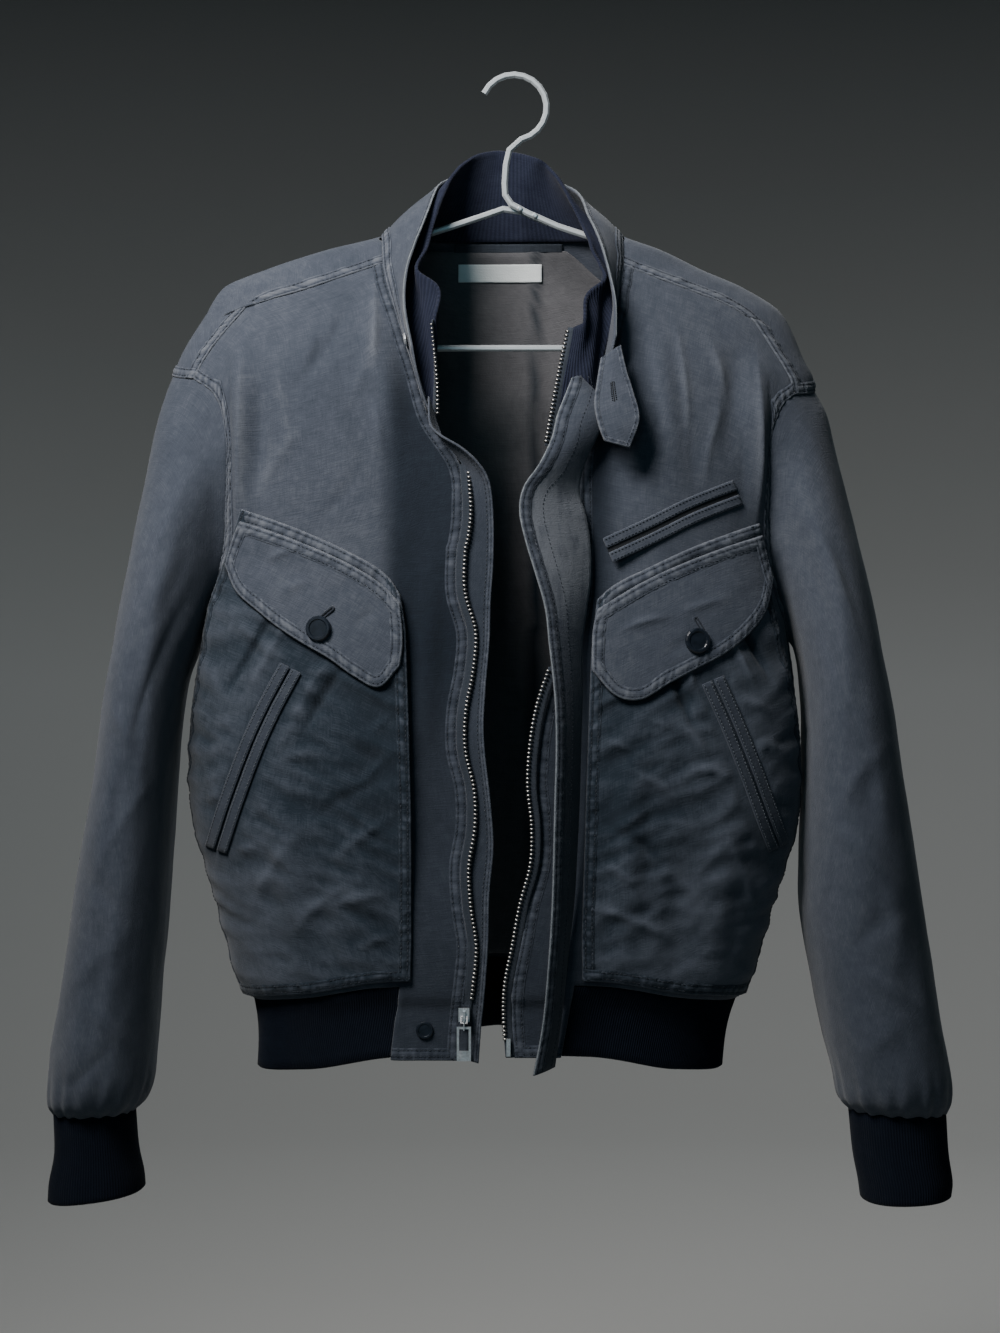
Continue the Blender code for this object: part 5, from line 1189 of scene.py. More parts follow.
def yoke_grid():
    region = np.swapaxes(yoke_columns(), 0, 1)
    angle, drop = fine_region(region, *YOKE_FINE)
    return surface(angle, drop, 0.0, True)[:, ::-1]


def make_back_and_yoke():
    cover("back_body", back_grid(), ["back"])
    cover("yoke_body", yoke_grid(), ["yoke"])


def fine_sleeve(side):
    """The fine sleeve, with creases that run round it and gathers above the cuff."""
    grid = refine(sleeve_grid(side), *SLEEVE_FINE, wrap=True)
    rows, columns = grid.shape[:2]
    angle = np.broadcast_to(360 * np.arange(columns) / columns, (rows, columns))
    drop = -grid[..., 2]
    fade = smooth(np.arange(rows)[:, None] / rows, 0.0, 0.12) * (1 - smooth(drop, 772, 785))
    seed = 31 if side == RIGHT else 37
    # Noise is looked up round a ring, so that it meets itself behind
    ring_x, ring_y = np.cos(np.radians(angle)) * 1.1, np.sin(np.radians(angle)) * 1.1
    waves = 0.9 * noise(ring_x * 1.3 + 9, drop / 70 + ring_y * 1.5, seed)
    waves = waves + 0.35 * noise(ring_x * 3 + 5 + ring_y * 3, drop / 30, seed + 1)
    for turn in (0, 360):
        waves = waves + crease(SLEEVE_CREASES[side], (angle - turn) * CREASE_STRETCH, drop)
    turned = np.radians(angle) * GATHERS + 2.2 * noise(ring_x * 2, ring_y * 2 + 3, seed + 2)
    ripple = np.cos(turned) * (0.65 + 0.35 * noise(ring_x * 4, ring_y * 4, seed + 3))
    lift = waves * fade + 1.3 * smooth(drop, 735, 778) * ripple
    return faces_right(grid - grid_normals(grid, True) * SIGN[side] * lift[..., None], side)


def make_sleeves():
    for side in (RIGHT, LEFT):
        cover("sleeve_body_" + side, fine_sleeve(side), ["sleeve_" + side], wrap=True)


# ---- knits

RIB_DEPTH = 0.38
RIB_COLUMNS = 4        # columns of points to each rib


def make_knit(name, coarse, down, ribs, look, nodes, wrap=False):
    """A rib knit piece with about so many ribs, which run down it."""
    cells = coarse.shape[1] - (0 if wrap else 1)
    across = max(1, round(ribs * RIB_COLUMNS / cells))
    fine = refine(coarse, down, across, wrap)
    columns = fine.shape[1]
    share = np.arange(columns) / (columns if wrap else columns - 1)
    wave = np.cos(2 * math.pi * share * round(cells * across / RIB_COLUMNS))
    raised = fine + grid_normals(fine, wrap) * (RIB_DEPTH * wave)[None, :, None]
    # Painted shade in the valleys between the ribs
    wear = np.broadcast_to((wave - 1) * 0.5, fine.shape[:2])
    return cover(name, raised, nodes, look, RIB, "rib", wrap=wrap, wear=wear, free=0.3, base=fine)


def hem_grid():
    ends = [[angle_at(STRIP_X[side][k], drops[side]) for side in (RIGHT, LEFT)]
            for k, drops in enumerate((STRIP_TOP, STRIP_BOTTOM))]
    share = np.linspace(0, 1, 81)
    away = np.minimum(share, 1 - share) * 80
    tucked_in = np.sign(share - 0.5) * 0.35 * (1 - np.minimum(away, 1))
    grid = []
    for t in (0.0, 0.25, 0.5, 0.75, 1.0):
        top, foot = (start + (end - 360 - start) * share for start, end in ends)
        angle = mix(top, foot, t) + tucked_in
        inset = -1.0 - 1.5 * math.sin(math.pi * t)
        grid.append(surface(angle, hem_seam(angle) + 1.2 + BAND * t, inset))
    return np.array(grid)[:, ::-1]


def curled(knit):
    """The knit collar, with the soft folds that cross it near its two ends."""
    knit = refine(knit, 3, 1)
    share = np.linspace(0, 1, knit.shape[1])
    near = (swell(share, 0.1, 0.07) + swell(share, 0.9, 0.07))[None, :]
    down = -knit[..., 2]
    wave = 3.2 * np.sin((down - 168) / 21 * math.pi + 9 * np.abs(share - 0.5)[None, :])
    return knit + grid_normals(knit) * (wave * near * smooth(down, 120, 150))[..., None]


def neck_tape_grid(side):
    """The tape of a collar zip, beside the knit collar's end."""
    knit = collar_grids()[1]
    edge, inner = (0, 1) if side == LEFT else (-1, -2)
    column, near = knit[:, edge], knit[:, inner]
    run = unit(np.gradient(column, axis=0))
    away = column - near
    away = unit(away - run * np.sum(away * run, axis=1)[:, None])
    pair = np.stack([column + away * (0.4 + NECK_ZIP), column + away * 0.4], axis=1)
    return refine(pair if side == LEFT else pair[:, ::-1], 8, 2)


def make_knits():
    make_knit("hem_knit", hem_grid(), 2, 560, "rib", ["hem_band"])
    for side in (RIGHT, LEFT):
        cuff = faces_right(cuff_grid(side), side)
        make_knit("cuff_knit_" + side, cuff, 4, 110, "rib", ["cuff_" + side], wrap=True)
    collar, knit = collar_grids()
    make_knit("collar_knit", curled(knit), 2, 230, "knit", ["knit_collar"])
    cover("collar_stand", refine(collar, *COLLAR_FINE), ["collar"])
    for side in (LEFT, RIGHT):
        cover("neck_tape_" + side, neck_tape_grid(side), ["neck_zip_" + side], "tape", 1.0)


# ---- pockets and flaps

def edge_fade(grid, reach):
    """0 at a grid's edges, 1 from so far inside them."""
    across, down = lengths(grid)
    near = np.minimum(np.minimum(across, across[:, -1:] - across),
                      np.minimum(down, down[-1:] - down))
    return smooth(near, 0, reach)


def from_slit(side, grid):
    """How far each point lies from the hand pocket's slit, seen from the front."""
    path = np.array(HAND_SLITS[side], float)
    spot = np.stack([grid[..., 0], -grid[..., 2]], -1)
    nearest = np.full(spot.shape[:-1], 1e9)
    for start, end in zip(path[:-1], path[1:]):
        run = end - start
        share = np.clip(((spot - start) @ run) / (run @ run), 0, 1)
        nearest = np.minimum(nearest, np.linalg.norm(spot - start - share[..., None] * run, axis=-1))
    return nearest


def flap_lift(angle, drop, share_down):
    return patch_lift(angle, drop) + LAY + CLOTH + 1.5 * share_down


def patch_rumple(side, point):
    """The patch's wrinkles: the listed ones, and small ridges that rise outwards."""
    across = np.abs(point[..., 0] - CENTRE_X)
    rising = -point[..., 2] + 0.35 * across
    swing = 4 * noise(across / 55, rising / 50, 43)
    ridges = 1 - 2 * np.abs(noise(across / 58, rising / 19 + swing / 9, 41))
    ridges = 1.9 * ridges + 1.0 * noise(across / 30, rising / 11 + swing / 6, 42)
    ridges = ridges + 0.4 * noise(across / 12, rising / 5.5, 44)
    height = crease(PATCH_CREASES[side], point[..., 0], -point[..., 2]) + 0.85 * ridges
    return height * smooth(from_slit(side, point), SLIT + LIP, SLIT + LIP + 8)


def patch_grid(side):
    angle, drop = fine_region(patch_region(side), *PATCH_FINE)
    point = surface(angle, drop, patch_lift(angle, drop))
    height = patch_rumple(side, point) * edge_fade(point, 6.0)
    return faces_right(point + normal(angle, drop) * height[..., None], side)


def patch_tone(side, grid):
    """Painted shade, paler towards the body's side and at the worn foot, painted light on wrinkles.
    """
    away = np.abs(grid[..., 0] - CENTRE_X)
    # Painted shade over each patch, deeper on the right one
    base = -0.45 if side == RIGHT else -0.1
    wear_or_shading = base + soft_steps(away, (0.7, 85, 185)) + soft_steps(-grid[..., 2], (0.5, 560, 640))
    # Painted highlights on the wrinkles' crests and painted shade in their troughs
    return wear_or_shading + 0.28 * np.clip(patch_rumple(side, grid), -3, 3)


def flap_grid(side):
    angle, drop = fine_region(flap_region(side), *FLAP_FINE)
    share = np.linspace(0, 1, angle.shape[0])[:, None]
    point = surface(angle, drop, flap_lift(angle, drop, share))
    height = crease(FLAP_CREASES[side], point[..., 0], -point[..., 2])
    height = height + 0.35 * noise(point[..., 0] / 22, point[..., 2] / 16, 45)
    height = height * edge_fade(point, 5)
    return faces_right(point + normal(angle, drop) * height[..., None], side)


def welt_grid(side, lip):
    """A lip of a hand pocket, its lines running down beside the slit."""
    sign = -SIGN[side] * FACES[lip]
    path = along(HAND_SLITS[side], 40)
    run = unit(np.gradient(path, axis=0))
    grid = []
    for aside in np.linspace(*sorted((sign * SLIT, sign * (SLIT + LIP))), 7):
        x, drop = path[:, 0] + aside * run[:, 1], path[:, 1] - aside * run[:, 0]
        angle = angles_at(x, drop)
        grid.append(surface(angle, drop, patch_lift(angle, drop) + LAY + LIP_THICK))
    return np.stack(grid, axis=1)


def chest_grid(near, far, lift):
    """A strip along the chest slit."""
    x, drop = along(CHEST_SLIT, 50).T
    return np.array([front_points(x + aside * CHEST_ACROSS[0], drop + aside * CHEST_ACROSS[1], lift)
                     for aside in np.linspace(near, far, 7)])


CHEST_ACROSS = (0.4, 0.92)     # the way across the chest slit: x, drop
LIP_THICK = 1.3
# near edge, far edge and lift
CHEST_OPENING = (-SLIT - 1.5, SLIT + 1.5, LIP_THICK)
CHEST_LIPS = {"upper": (-(SLIT + LIP + 1), -(SLIT + 1), LAY + 1.8),
              "lower": (SLIT + 1, SLIT + LIP + 1, LAY + 1.3)}


def make_pockets():
    for side in (RIGHT, LEFT):
        grid = patch_grid(side)
        tone = patch_tone(side, grid)
        # The patch has the darker copy of the cloth, as painted shade, and its own painted light
        cover("patch_body_" + side, grid, ["patch_" + side], "cloth_dark", wear=tone)
        cover("flap_body_" + side, flap_grid(side), ["flap_" + side])
        for lip in FACES:
            grid = welt_grid(side, lip)
            node = f"welt_{side}_{lip}"
            # The lips are painted darker, as painted shade
            tone = np.full(grid.shape[:2], -0.75)
            cover("lip_" + node, grid, [node], thickness=LIP_THICK, wear=tone)
    # A dark sheet of painted shade in the chest slit
    cover("chest_opening", chest_grid(*CHEST_OPENING), (), "hollow", 0.6, "cloth")
    for name, strip in CHEST_LIPS.items():
        node = "chest_welt_" + name
        cover("lip_" + node, chest_grid(*strip), [node], thickness=LIP_THICK)


# ---- front closure

def wind_flap_grid():
    table = np.array(WIND_FLAP, float)
    grid = []
    for share in (0, 0.33, 0.66, 1):
        spot = mix(table[:, :2] + np.array([0.5, 0]), table[:, 3:5], share)
        lift = mix(table[:, 2], table[:, 5], share ** 1.8)
        grid.append(front_points(*spot.T, lift))
    return np.stack(grid, axis=1)


def storm_flap_grid():
    table = np.array(STORM_FLAP, float)
    free = front_points(table[:, 0], table[:, 1], table[:, 2])
    seam = front_points(table[:, 3], table[:, 4], table[:, 5] + CLOTH)
    return np.stack([mix(free, seam, share) - np.array([0, 3.0 * math.sin(math.pi * share), 0])
                     for share in np.linspace(0, 1, 5)], axis=1)


def tape_grid(side):
    edge = front_region(side)[:, -1]
    edge = edge[edge[:, 1] >= TEETH_TOP[side]]
    x = body(edge[:, 0], edge[:, 1])[:, 0]
    near = front_points(x - SIGN[side] * 0.1, edge[:, 1], 0.4)
    far = front_points(x - SIGN[side] * TAPE_WIDTH, edge[:, 1], 1.2)
    pair = np.stack([near, far], axis=1)
    return faces_right(pair, side)


def throat_grid():
    start, end = (np.array([place(row[k], row[4], row[k + 1]) for row in THROAT_TAB])
                  for k in (0, 2))
    return np.stack([start, mix(start, end, 0.5) - np.array([0, 1.0, 0]), end], axis=1)


def make_closure():
    grid = refine(wind_flap_grid(), 8, 8)
    # Painted shade on the wind flap from just below the collar down
    tone = soft_steps(-grid[..., 2], (-1.2, 285, 350))
    cover("wind_flap", grid, ["placket_r"], thickness=THIN, wear=tone)
    grid = refine(storm_flap_grid(), 10, 5)
    across, drop = grid[..., 0], -grid[..., 2]
    # A streaky painted highlight on the storm flap's upper roll, and painted shade lower down
    streaks = 1 + 0.7 * noise(across / 3.5, drop / 34, 51) + 0.35 * noise(across / 9, drop / 9, 52)
    wear_or_shading = 1.5 * streaks * smooth(drop, 285, 330) * (1 - smooth(drop, 370, 440))
    cover("storm_flap", grid, ["placket_l"], wear=wear_or_shading + soft_steps(drop, (-1.2, 430, 520)))
    for side in (RIGHT, LEFT):
        cover("zip_tape_" + side, refine(tape_grid(side), 8, 4), ["zip_" + side], "tape", 0.9)
    cover("throat_cloth", refine(throat_grid(), 8, 8), ["throat_tab"])


# ---- inside the back

def back_strip(x_from, x_to, drop_from, drop_to, lift):
    x = np.linspace(x_from, x_to, 6)
    return np.array([surface(angles_at(x, drop, "back"), drop, lift)
                     for drop in np.linspace(drop_from, drop_to, 3)])[:, ::-1]


def make_inside():
    """The lining that shows inside the back, the tape at the neck, and the blank label."""
    first, last = LINING_COLUMNS
    columns = yoke_columns()
    before = (len(columns) - BACK_COLUMNS - 1) // 2
    upper = columns[before + first:before + last + 1, 1:YOKE_COLUMNS:2].swapaxes(0, 1)
    lower = back_region()[:, first:last + 1].copy()
    lower[-1, :, 1] -= LINING_FOOT
    angle, drop = fine_region(np.concatenate([upper, lower]), 3, 4)
    grid = surface(angle, drop, LINING_LIFT)[:, ::-1]
    aside = grid[..., 0] - LINING_SEAM
    height = 0.8 * swell(aside, 5, 3.5) - 1.2 * swell(aside, 0, 3.5)
    grid = grid + grid_normals(grid) * height[..., None]
    # Painted shade lower down inside the back, and a dark line down the seam
    tone = soft_steps(-grid[..., 2], (-0.6, 240, 420)) - 1.5 * swell(aside, 0, 3.2)
    cover("lining_cloth", grid, ["lining_back"], "lining", THIN, wear=tone)
    grid = refine(back_strip(*NECK_TAPE, LINING_LIFT), 4, 8)
    cover("neck_binding", grid, ["neck_tape"], "tape", THIN)
    grid = refine(back_strip(*LABEL, LINING_LIFT - THIN - 0.7), 6, 8)
    cover("label_cloth", grid, ["label"], "label", 0.7)


# ---- seams and sewing

# Distance in from the edge, height above the cloth, and worn paler with a painted highlight
# (above 0) or painted shade in the grooves and beside the seam (below 0)
FELLED = ((-0.3, -0.9, -1.6), (-0.5, 0.4, 1.0), (0.5, 1.2, 1.3), (1.7, 0.45, -1.3),
          (2.9, 1.15, 0.9), (5.3, 1.15, 0.8), (6.5, 0.4, -1.3), (7.7, 0.9, 0.7),
          (8.4, -0.1, -1.8), (8.4, -0.9, -1.8))
HEMMED = ((-0.35, -1.3, 0.2), (-0.75, -0.3, 1.3), (0.3, 0.65, 1.3), (1.9, 0.15, -1.1),
          (3.4, 0.7, 0.6), (5.6, 0.65, 0.5), (6.9, 0.1, -1.2), (8.2, 0.45, 0.5),
          (8.9, -0.15, -1.4), (8.9, -0.9, -1.4))
NARROW = ((-0.3, -1.0, 0.6), (-0.6, -0.1, 1.2), (0.2, 0.55, 1.1), (1.5, 0.12, -1.0),
          (2.8, 0.5, 0.5), (3.6, -0.5, -1.3))
PIPED = ((-0.6, -0.8, 0.0), (-0.9, -0.1, 0.2), (-0.5, 0.45, 0.6), (0.1, 0.5, 0.5),
         (0.5, 0.1, 0.0), (0.4, -0.7, -0.4))
# Each profile's rows of stitches: how far in from the edge, and their height
ROWS = {FELLED: ((1.7, 6.5), 0.6), HEMMED: ((1.9, 6.9), 0.3)}
WHOLE = (0.0, 1.0)
# What each kind of sewing looks like, and its slot
SEWN_LOOKS = {"seams": ("cloth", "cloth"), "stitches": ("thread", "cloth"),
              "bright_stitches": ("bright_thread", "cloth"), "piping": ("piping", "cloth"),
              "teeth": ("teeth", "metal"), "hollow": ("hollow", "cloth"),
              "rims": ("rim", "button"), "knots": ("thread", "button"),
              "buttonholes": ("thread", "cloth")}
STITCH_ENDS = (-0.36, -0.2, 0.2, 0.36)    # where a stitch starts, is full and ends, in pitches
STITCH_DIP = 0.35                         # how far its ends dip in
SEWN = {}    # the points, faces and wear of each panel's sewing, by kind


def lines_from(grid, edge):
    """The grid's lines that run in from an edge: first along the edge, then inwards."""
    return {"top": grid.swapaxes(0, 1), "bottom": grid[::-1].swapaxes(0, 1), "left": grid,
            "right": grid[:, ::-1]}[edge]


def beside(grid, edge, distances, step, part=WHOLE, depth=14):
    """Curves on a grid at these distances in from one of its edges, with a point every
    step, and the normals there. part is the share of the edge that is used."""
    lines = lines_from(grid, edge)[:, :depth]
    outs = lines_from(grid_normals(grid), edge)[:, :depth]
    count = len(lines)
    first, last = round(part[0] * (count - 1)), round(part[1] * (count - 1))
    lines, outs = lines[first:last + 1], outs[first:last + 1]
    ahead = unit(np.gradient(lines[:, 0], axis=0))
    inward = unit(lines[:, 2] - lines[:, 0])
    lean = np.maximum(np.linalg.norm(np.cross(ahead, inward), axis=1), 0.5)
    length = np.linalg.norm(np.diff(lines, axis=1), axis=2)
    length = np.concatenate([np.zeros((len(lines), 1)), np.cumsum(length, axis=1)], axis=1)
    spot = run_length(lines[:, 0])
    at = np.linspace(0, spot[-1], max(3, int(spot[-1] / step)))
    row = np.arange(len(lines))
    curves, normals = [], []
    for distance in distances:
        along_line = distance / lean
        k = np.clip((length < along_line[:, None]).sum(axis=1), 1, length.shape[1] - 1)
        near, far = length[row, k - 1], length[row, k]
        share = ((along_line - near) / (far - near))[:, None]
        curve = mix(lines[row, k - 1], lines[row, k], share)
        out = mix(outs[row, k - 1], outs[row, k], np.clip(share, 0, 1))
        curves.append(follow(curve, spot, at))
        normals.append(unit(follow(out, spot, at)))
    return np.array(curves), np.array(normals), at


def sewn(panel, kind, points, faces, wear):
    """Keep points and faces for a panel's joined mesh of this kind."""
    SEWN.setdefault((panel, kind), []).append((points, faces, wear))


def add_ring(panel, kind, points, wear, out):
    """A closed strip whose sections are rings of an even number of points."""
    count, length = points.shape[:2]
    number = np.arange(count * length).reshape(count, length)
    after = np.roll(number, -1, axis=0)
    quads = np.stack([number[:, :-1], number[:, 1:], after[:, 1:], after[:, :-1]], -1)
    ends = np.stack([number[caps(count), 0], number[caps(count)[:, ::-1], -1]], 1)
    quads = np.concatenate([quads.reshape(-1, 4), ends.reshape(-1, 4)])
    if np.cross(points[2, 1] - points[2, 0], points[3, 0] - points[2, 0]) @ out[0] < 0:
        quads = quads[:, ::-1]
    wear_or_shading = np.broadcast_to(wear, (count, length)).ravel()
    sewn(panel, kind, points.reshape(-1, 3), quads, wear_or_shading)


def band(panel, grid, edge, profile=FELLED, part=WHOLE, rope=0.4, seed=3, step=1.5, depth=14,
         kind="seams", tone=0.0):
    """A raised seam beside a grid's edge, drawn up along its length as worn seams are."""
    distances, heights, wear_or_shading = (np.array(column) for column in zip(*profile))
    curves, normals, at = beside(grid, edge, distances, step, part, depth)
    free = (heights > 0)[:, None]
    pull = noise(at[None, :] / 3.9, distances[:, None] / 11.0, seed)
    slow = noise(at[None, :] / 21, distances[:, None] / 30, seed + 1)
    lift = heights[:, None] + free * (rope * pull + 0.5 * rope * slow)
    points = curves + normals * lift[..., None]
    # Worn paler with painted highlights on raised rows and crests, painted shade in grooves and
    # dips; tone adds the painted shade of the cloth beside the seam
    light = wear_or_shading[:, None] * (0.7 + 0.3 * slow) + free * (1.1 * pull) + tone
    add_ring(panel, kind, points, light, normals[2])


def copies(panel, kind, corners, faces):
    """Sew on many like pieces: each corner has an array of its places."""
    points = np.stack(corners, axis=1)
    count, size = points.shape[:2]
    faces = np.array(faces)[None] + (np.arange(count) * size)[:, None, None]
    faces = faces.reshape(-1, faces.shape[-1])
    sewn(panel, kind, points.reshape(-1, 3), faces, np.zeros(count * size))


def add_stitches(panel, curve, normals, lift, pitch, thick, kind="stitches"):
    """A row of stitches, each a small spindle that dips in at its ends."""
    at = run_length(curve)
    middle = np.arange(pitch / 2, at[-1] - pitch / 2, pitch)
    if not len(middle):
        return
    out = unit(follow(normals, at, middle))
    ends = [follow(curve, at, middle + share * pitch) for share in STITCH_ENDS]
    aside = np.cross(out, unit(ends[3] - ends[0]))
    points = [ends[0] + out * (lift - STITCH_DIP)]
    for spot in ends[1:3]:
        centre = spot + out * lift
        points += [centre + way * thick for way in (out, aside, -out, -aside)]
    points.append(ends[3] + out * (lift - STITCH_DIP))
    faces = []
    for k in range(4):
        n = (k + 1) % 4
        faces += [(0, 1 + n, 1 + k), (1 + k, 1 + n, 5 + n), (1 + k, 5 + n, 5 + k),
                  (9, 5 + k, 5 + n)]
    copies(panel, kind, points, faces)


def stitches(panel, grid, edge, distances, lift=0.35, part=WHOLE, pitch=3.3, depth=14,
             kind="stitches"):
    """Rows of stitches beside an edge."""
    for distance in distances:
        curves, normals, _ = beside(grid, edge, [distance], 0.55, part, depth)
        add_stitches(panel, curves[0], normals[0], lift, pitch, 0.3, kind)


def seam(panel, grid, edge, profile=FELLED, rows=None, part=WHOLE, depth=14, pitch=3.3, **how):
    """A raised seam and its rows of stitches."""
    distances, lift = rows or ROWS[profile]
    band(panel, grid, edge, profile, part, depth=depth, **how)
    stitches(panel, grid, edge, distances, lift, part, pitch, depth)


def slab(panel, kind, outline, out, thick=0.4):
    """A thin plate under an outline of an even number of points that faces out."""
    if np.cross(outline, np.roll(outline, -1, axis=0)).sum(axis=0) @ out < 0:
        outline = outline[::-1]
    count = len(outline)
    ring = np.arange(count)
    after = np.roll(ring, -1)
    sides = np.stack([ring, ring + count, after + count, after], -1)
    faces = np.concatenate([caps(count), caps(count)[:, ::-1] + count, sides])
    points = np.concatenate([outline, outline - out * thick])
    sewn(panel, kind, points, faces, np.zeros(2 * count))


def join_sewn():
    """Make each panel's joined meshes."""
    made = {}
    for (panel, kind), parts in SEWN.items():
        points, faces, wear = zip(*parts)
        starts = np.cumsum([0] + [len(part) for part in points])
        faces = [part + start for part, start in zip(faces, starts)]
        look, look_slot = SEWN_LOOKS[kind]
        # Seams on the patches take the cloth's darker copy: painted shade
        if kind == "seams" and panel.startswith("patch"):
            look, look_slot = "cloth_dark", "cloth_dark"
        points, faces, wear = map(np.concatenate, (points, faces, wear))
        piece = keep(make(kind + "_" + panel, points, faces, LOOKS[look], wear))
        made.setdefault(panel, []).append(piece.name)
    return made


def outer_edge(side):
    """The edge of a front's grid that lies at the side of the body."""
    return "left" if side == RIGHT else "right"


def inner_edge(side):
    """The edge of a front's grid that lies at the opening."""
    return "right" if side == RIGHT else "left"


def sew_fronts():
    arm = (ARM_STEPS - YOKE_STATION) / (FRONT_ROWS + 2)
    foot = FRONT_ROWS / (FRONT_ROWS + 2)
    strip = STRIP_COLUMN / FRONT_COLUMNS + 0.004    # a little in from where the strip starts
    for side, foot_part in ((RIGHT, (strip, 1.0)), (LEFT, (0.0, 1 - strip))):
        panel, grid = "front_body_" + side, front_grid(side)
        seam(panel, grid, outer_edge(side), part=(0, arm), seed=5, rope=0.8)
        band(panel, grid, outer_edge(side), part=(arm, foot), seed=6, rope=0.3)
        # The seams at the zip and the foot get the painted shade of the cloth there
        seam(panel, grid, inner_edge(side), HEMMED, seed=7, rope=0.3, tone=-0.75)
        seam(panel, grid, "bottom", HEMMED, part=foot_part, seed=30, rope=0.5, depth=16, tone=-0.8)


def sew_back_and_yoke():
    yoke, back = yoke_grid(), back_grid()
    shoulder = 8 / (len(yoke_columns()) - 1)
    for edge, part, seed in (("left", WHOLE, 8), ("right", WHOLE, 9), ("bottom", (0, shoulder), 10),
                             ("bottom", (shoulder, 1 - shoulder), 11),
                             ("bottom", (1 - shoulder, 1), 12)):
        seam("yoke_body", yoke, edge, part=part, seed=seed, rope=0.8)
    arm = (ARM_STEPS - YOKE_STATION) / FRONT_ROWS
    for edge in ("left", "right"):
        seam("back_body", back, edge, part=(0, arm), seed=13, rope=0.8)
    seam("back_body", back, "bottom", HEMMED, ((6.9,), 0.3), seed=14, rope=0.4)


def sew_pockets():
    for side in (RIGHT, LEFT):
        patch, flap = "patch_body_" + side, "flap_body_" + side
        grid = patch_grid(side)
        for edge, seed in (("top", 15), (inner_edge(side), 16), (outer_edge(side), 17),
                           ("bottom", 18)):
            on = flap if edge == "top" else patch
            # The patches' seams get a little painted shade
            seam(on, grid, edge, HEMMED, seed=seed, rope=0.6, tone=-0.15)
        grid = flap_grid(side)
        for edge, seed, depth in (("bottom", 19, 30), (inner_edge(side), 20, 20),
                                  (outer_edge(side), 21, 20), ("top", 22, 30)):
            seam(flap, grid, edge, HEMMED, seed=seed, rope=0.5, step=1.2, depth=depth)


def sew_welts():
    """A row of stitches along each edge of a pocket's lips."""
    how = {"distances": (1.1,), "lift": 0.3, "depth": 10, "pitch": 2.8}
    for side in (RIGHT, LEFT):
        for lip in FACES:
            grid = refine(welt_grid(side, lip), 2, 3)
            for edge in ("left", "right"):
                stitches("patch_body_" + side, grid, edge, kind="bright_stitches", **how)
    for strip in CHEST_LIPS.values():
        grid = refine(chest_grid(*strip), 3, 2)
        for edge in ("top", "bottom"):
            stitches("front_body_l", grid, edge, **how)


def buttonhole(panel, start, end, lift):
    """A worked buttonhole between two (x, drop) points: a slot of painted shade in a raised ring."""
    start, end = np.array(start, float), np.array(end, float)
    run = unit(end - start)
    aside = np.array([-run[1], run[0]])
    turns = np.linspace(0, 2 * math.pi, 33)
    ring = []
    for reach, height in HOLE_RING:
        middle = np.where(np.cos(turns)[:, None] > 0, end, start)
        spots = middle + reach * (np.cos(turns)[:, None] * run + np.sin(turns)[:, None] * aside)
        ring.append(front_points(spots[:, 0], spots[:, 1], lift + height))
    out = np.array([[0.0, -1.0, 0.0]])
    stitched = 0.2 * np.cos(np.arange(33) * 2.1)
    add_ring(panel, "buttonholes", np.array(ring), stitched, out)
    near = front_points(*(start - run * 0.2)[:, None], lift + 0.3)
    far = front_points(*(end + run * 0.2)[:, None], lift + 0.3)
    wide = np.array([aside[0], 0, -aside[1]]) * 0.45
    corners = np.concatenate([near + wide, near - wide, far - wide, far + wide])
    slab(panel, "hollow", corners, out[0])


def tab_buttonhole():
    """The worked buttonhole that runs down the throat tab."""
    tab = refine(throat_grid(), 8, 10)
    outs = grid_normals(tab)
    first, last = round(0.3 * len(tab)), round(0.55 * len(tab))
    for column in (tab.shape[1] // 2 - 1, tab.shape[1] // 2 + 1):
        curve, out = tab[first:last, column], outs[first:last, column]
        add_stitches("throat_cloth", curve, out, 0.4, 1.5, 0.5)
    middle = tab[first:last, tab.shape[1] // 2] + 0.25 * outs[first:last, tab.shape[1] // 2]
    aside = unit(tab[first:last, -1] - tab[first:last, 0]) * 0.4
    outline = np.concatenate([middle - aside, (middle + aside)[::-1]])
    # The slot is a dark plate of painted shade
    slab("throat_cloth", "hollow", outline, outs[first, 0])


# panel, start and end as (x, drop), height above the front
BUTTONHOLES = (("flap_body_r", (-141.0, 412.5), (-132.6, 405.5), 7.5),
               ("flap_body_l", (131.5, 413.0), (136.2, 420.8), 7.5),
               ("storm_flap", (46.5, 257.5), (51.0, 269.0), 9.0))


# Sections of a buttonhole's ring: how far out, and the height there
HOLE_RING = ((0.25, -0.2), (0.5, 0.75), (1.5, 0.85), (2.1, -0.2))


def sew_buttonholes():
    for hole in BUTTONHOLES:
        buttonhole(*hole)
    tab_buttonhole()


def button_face(node):
    """A button's middle, the way it faces, and its radius."""
    points = np.array([node.matrix_world @ v.co for v in node.data.vertices]) * MM
    middle = points.mean(axis=0)
    values, ways = np.linalg.eigh(np.cov((points - middle).T))
    out = ways[:, 0] * (-1 if ways[1, 0] > 0 else 1)
    height = ((points - middle) @ out).max()
    aside = points - middle - ((points - middle) @ out)[:, None] * out
    return middle + out * height, out, np.linalg.norm(aside, axis=1).max()


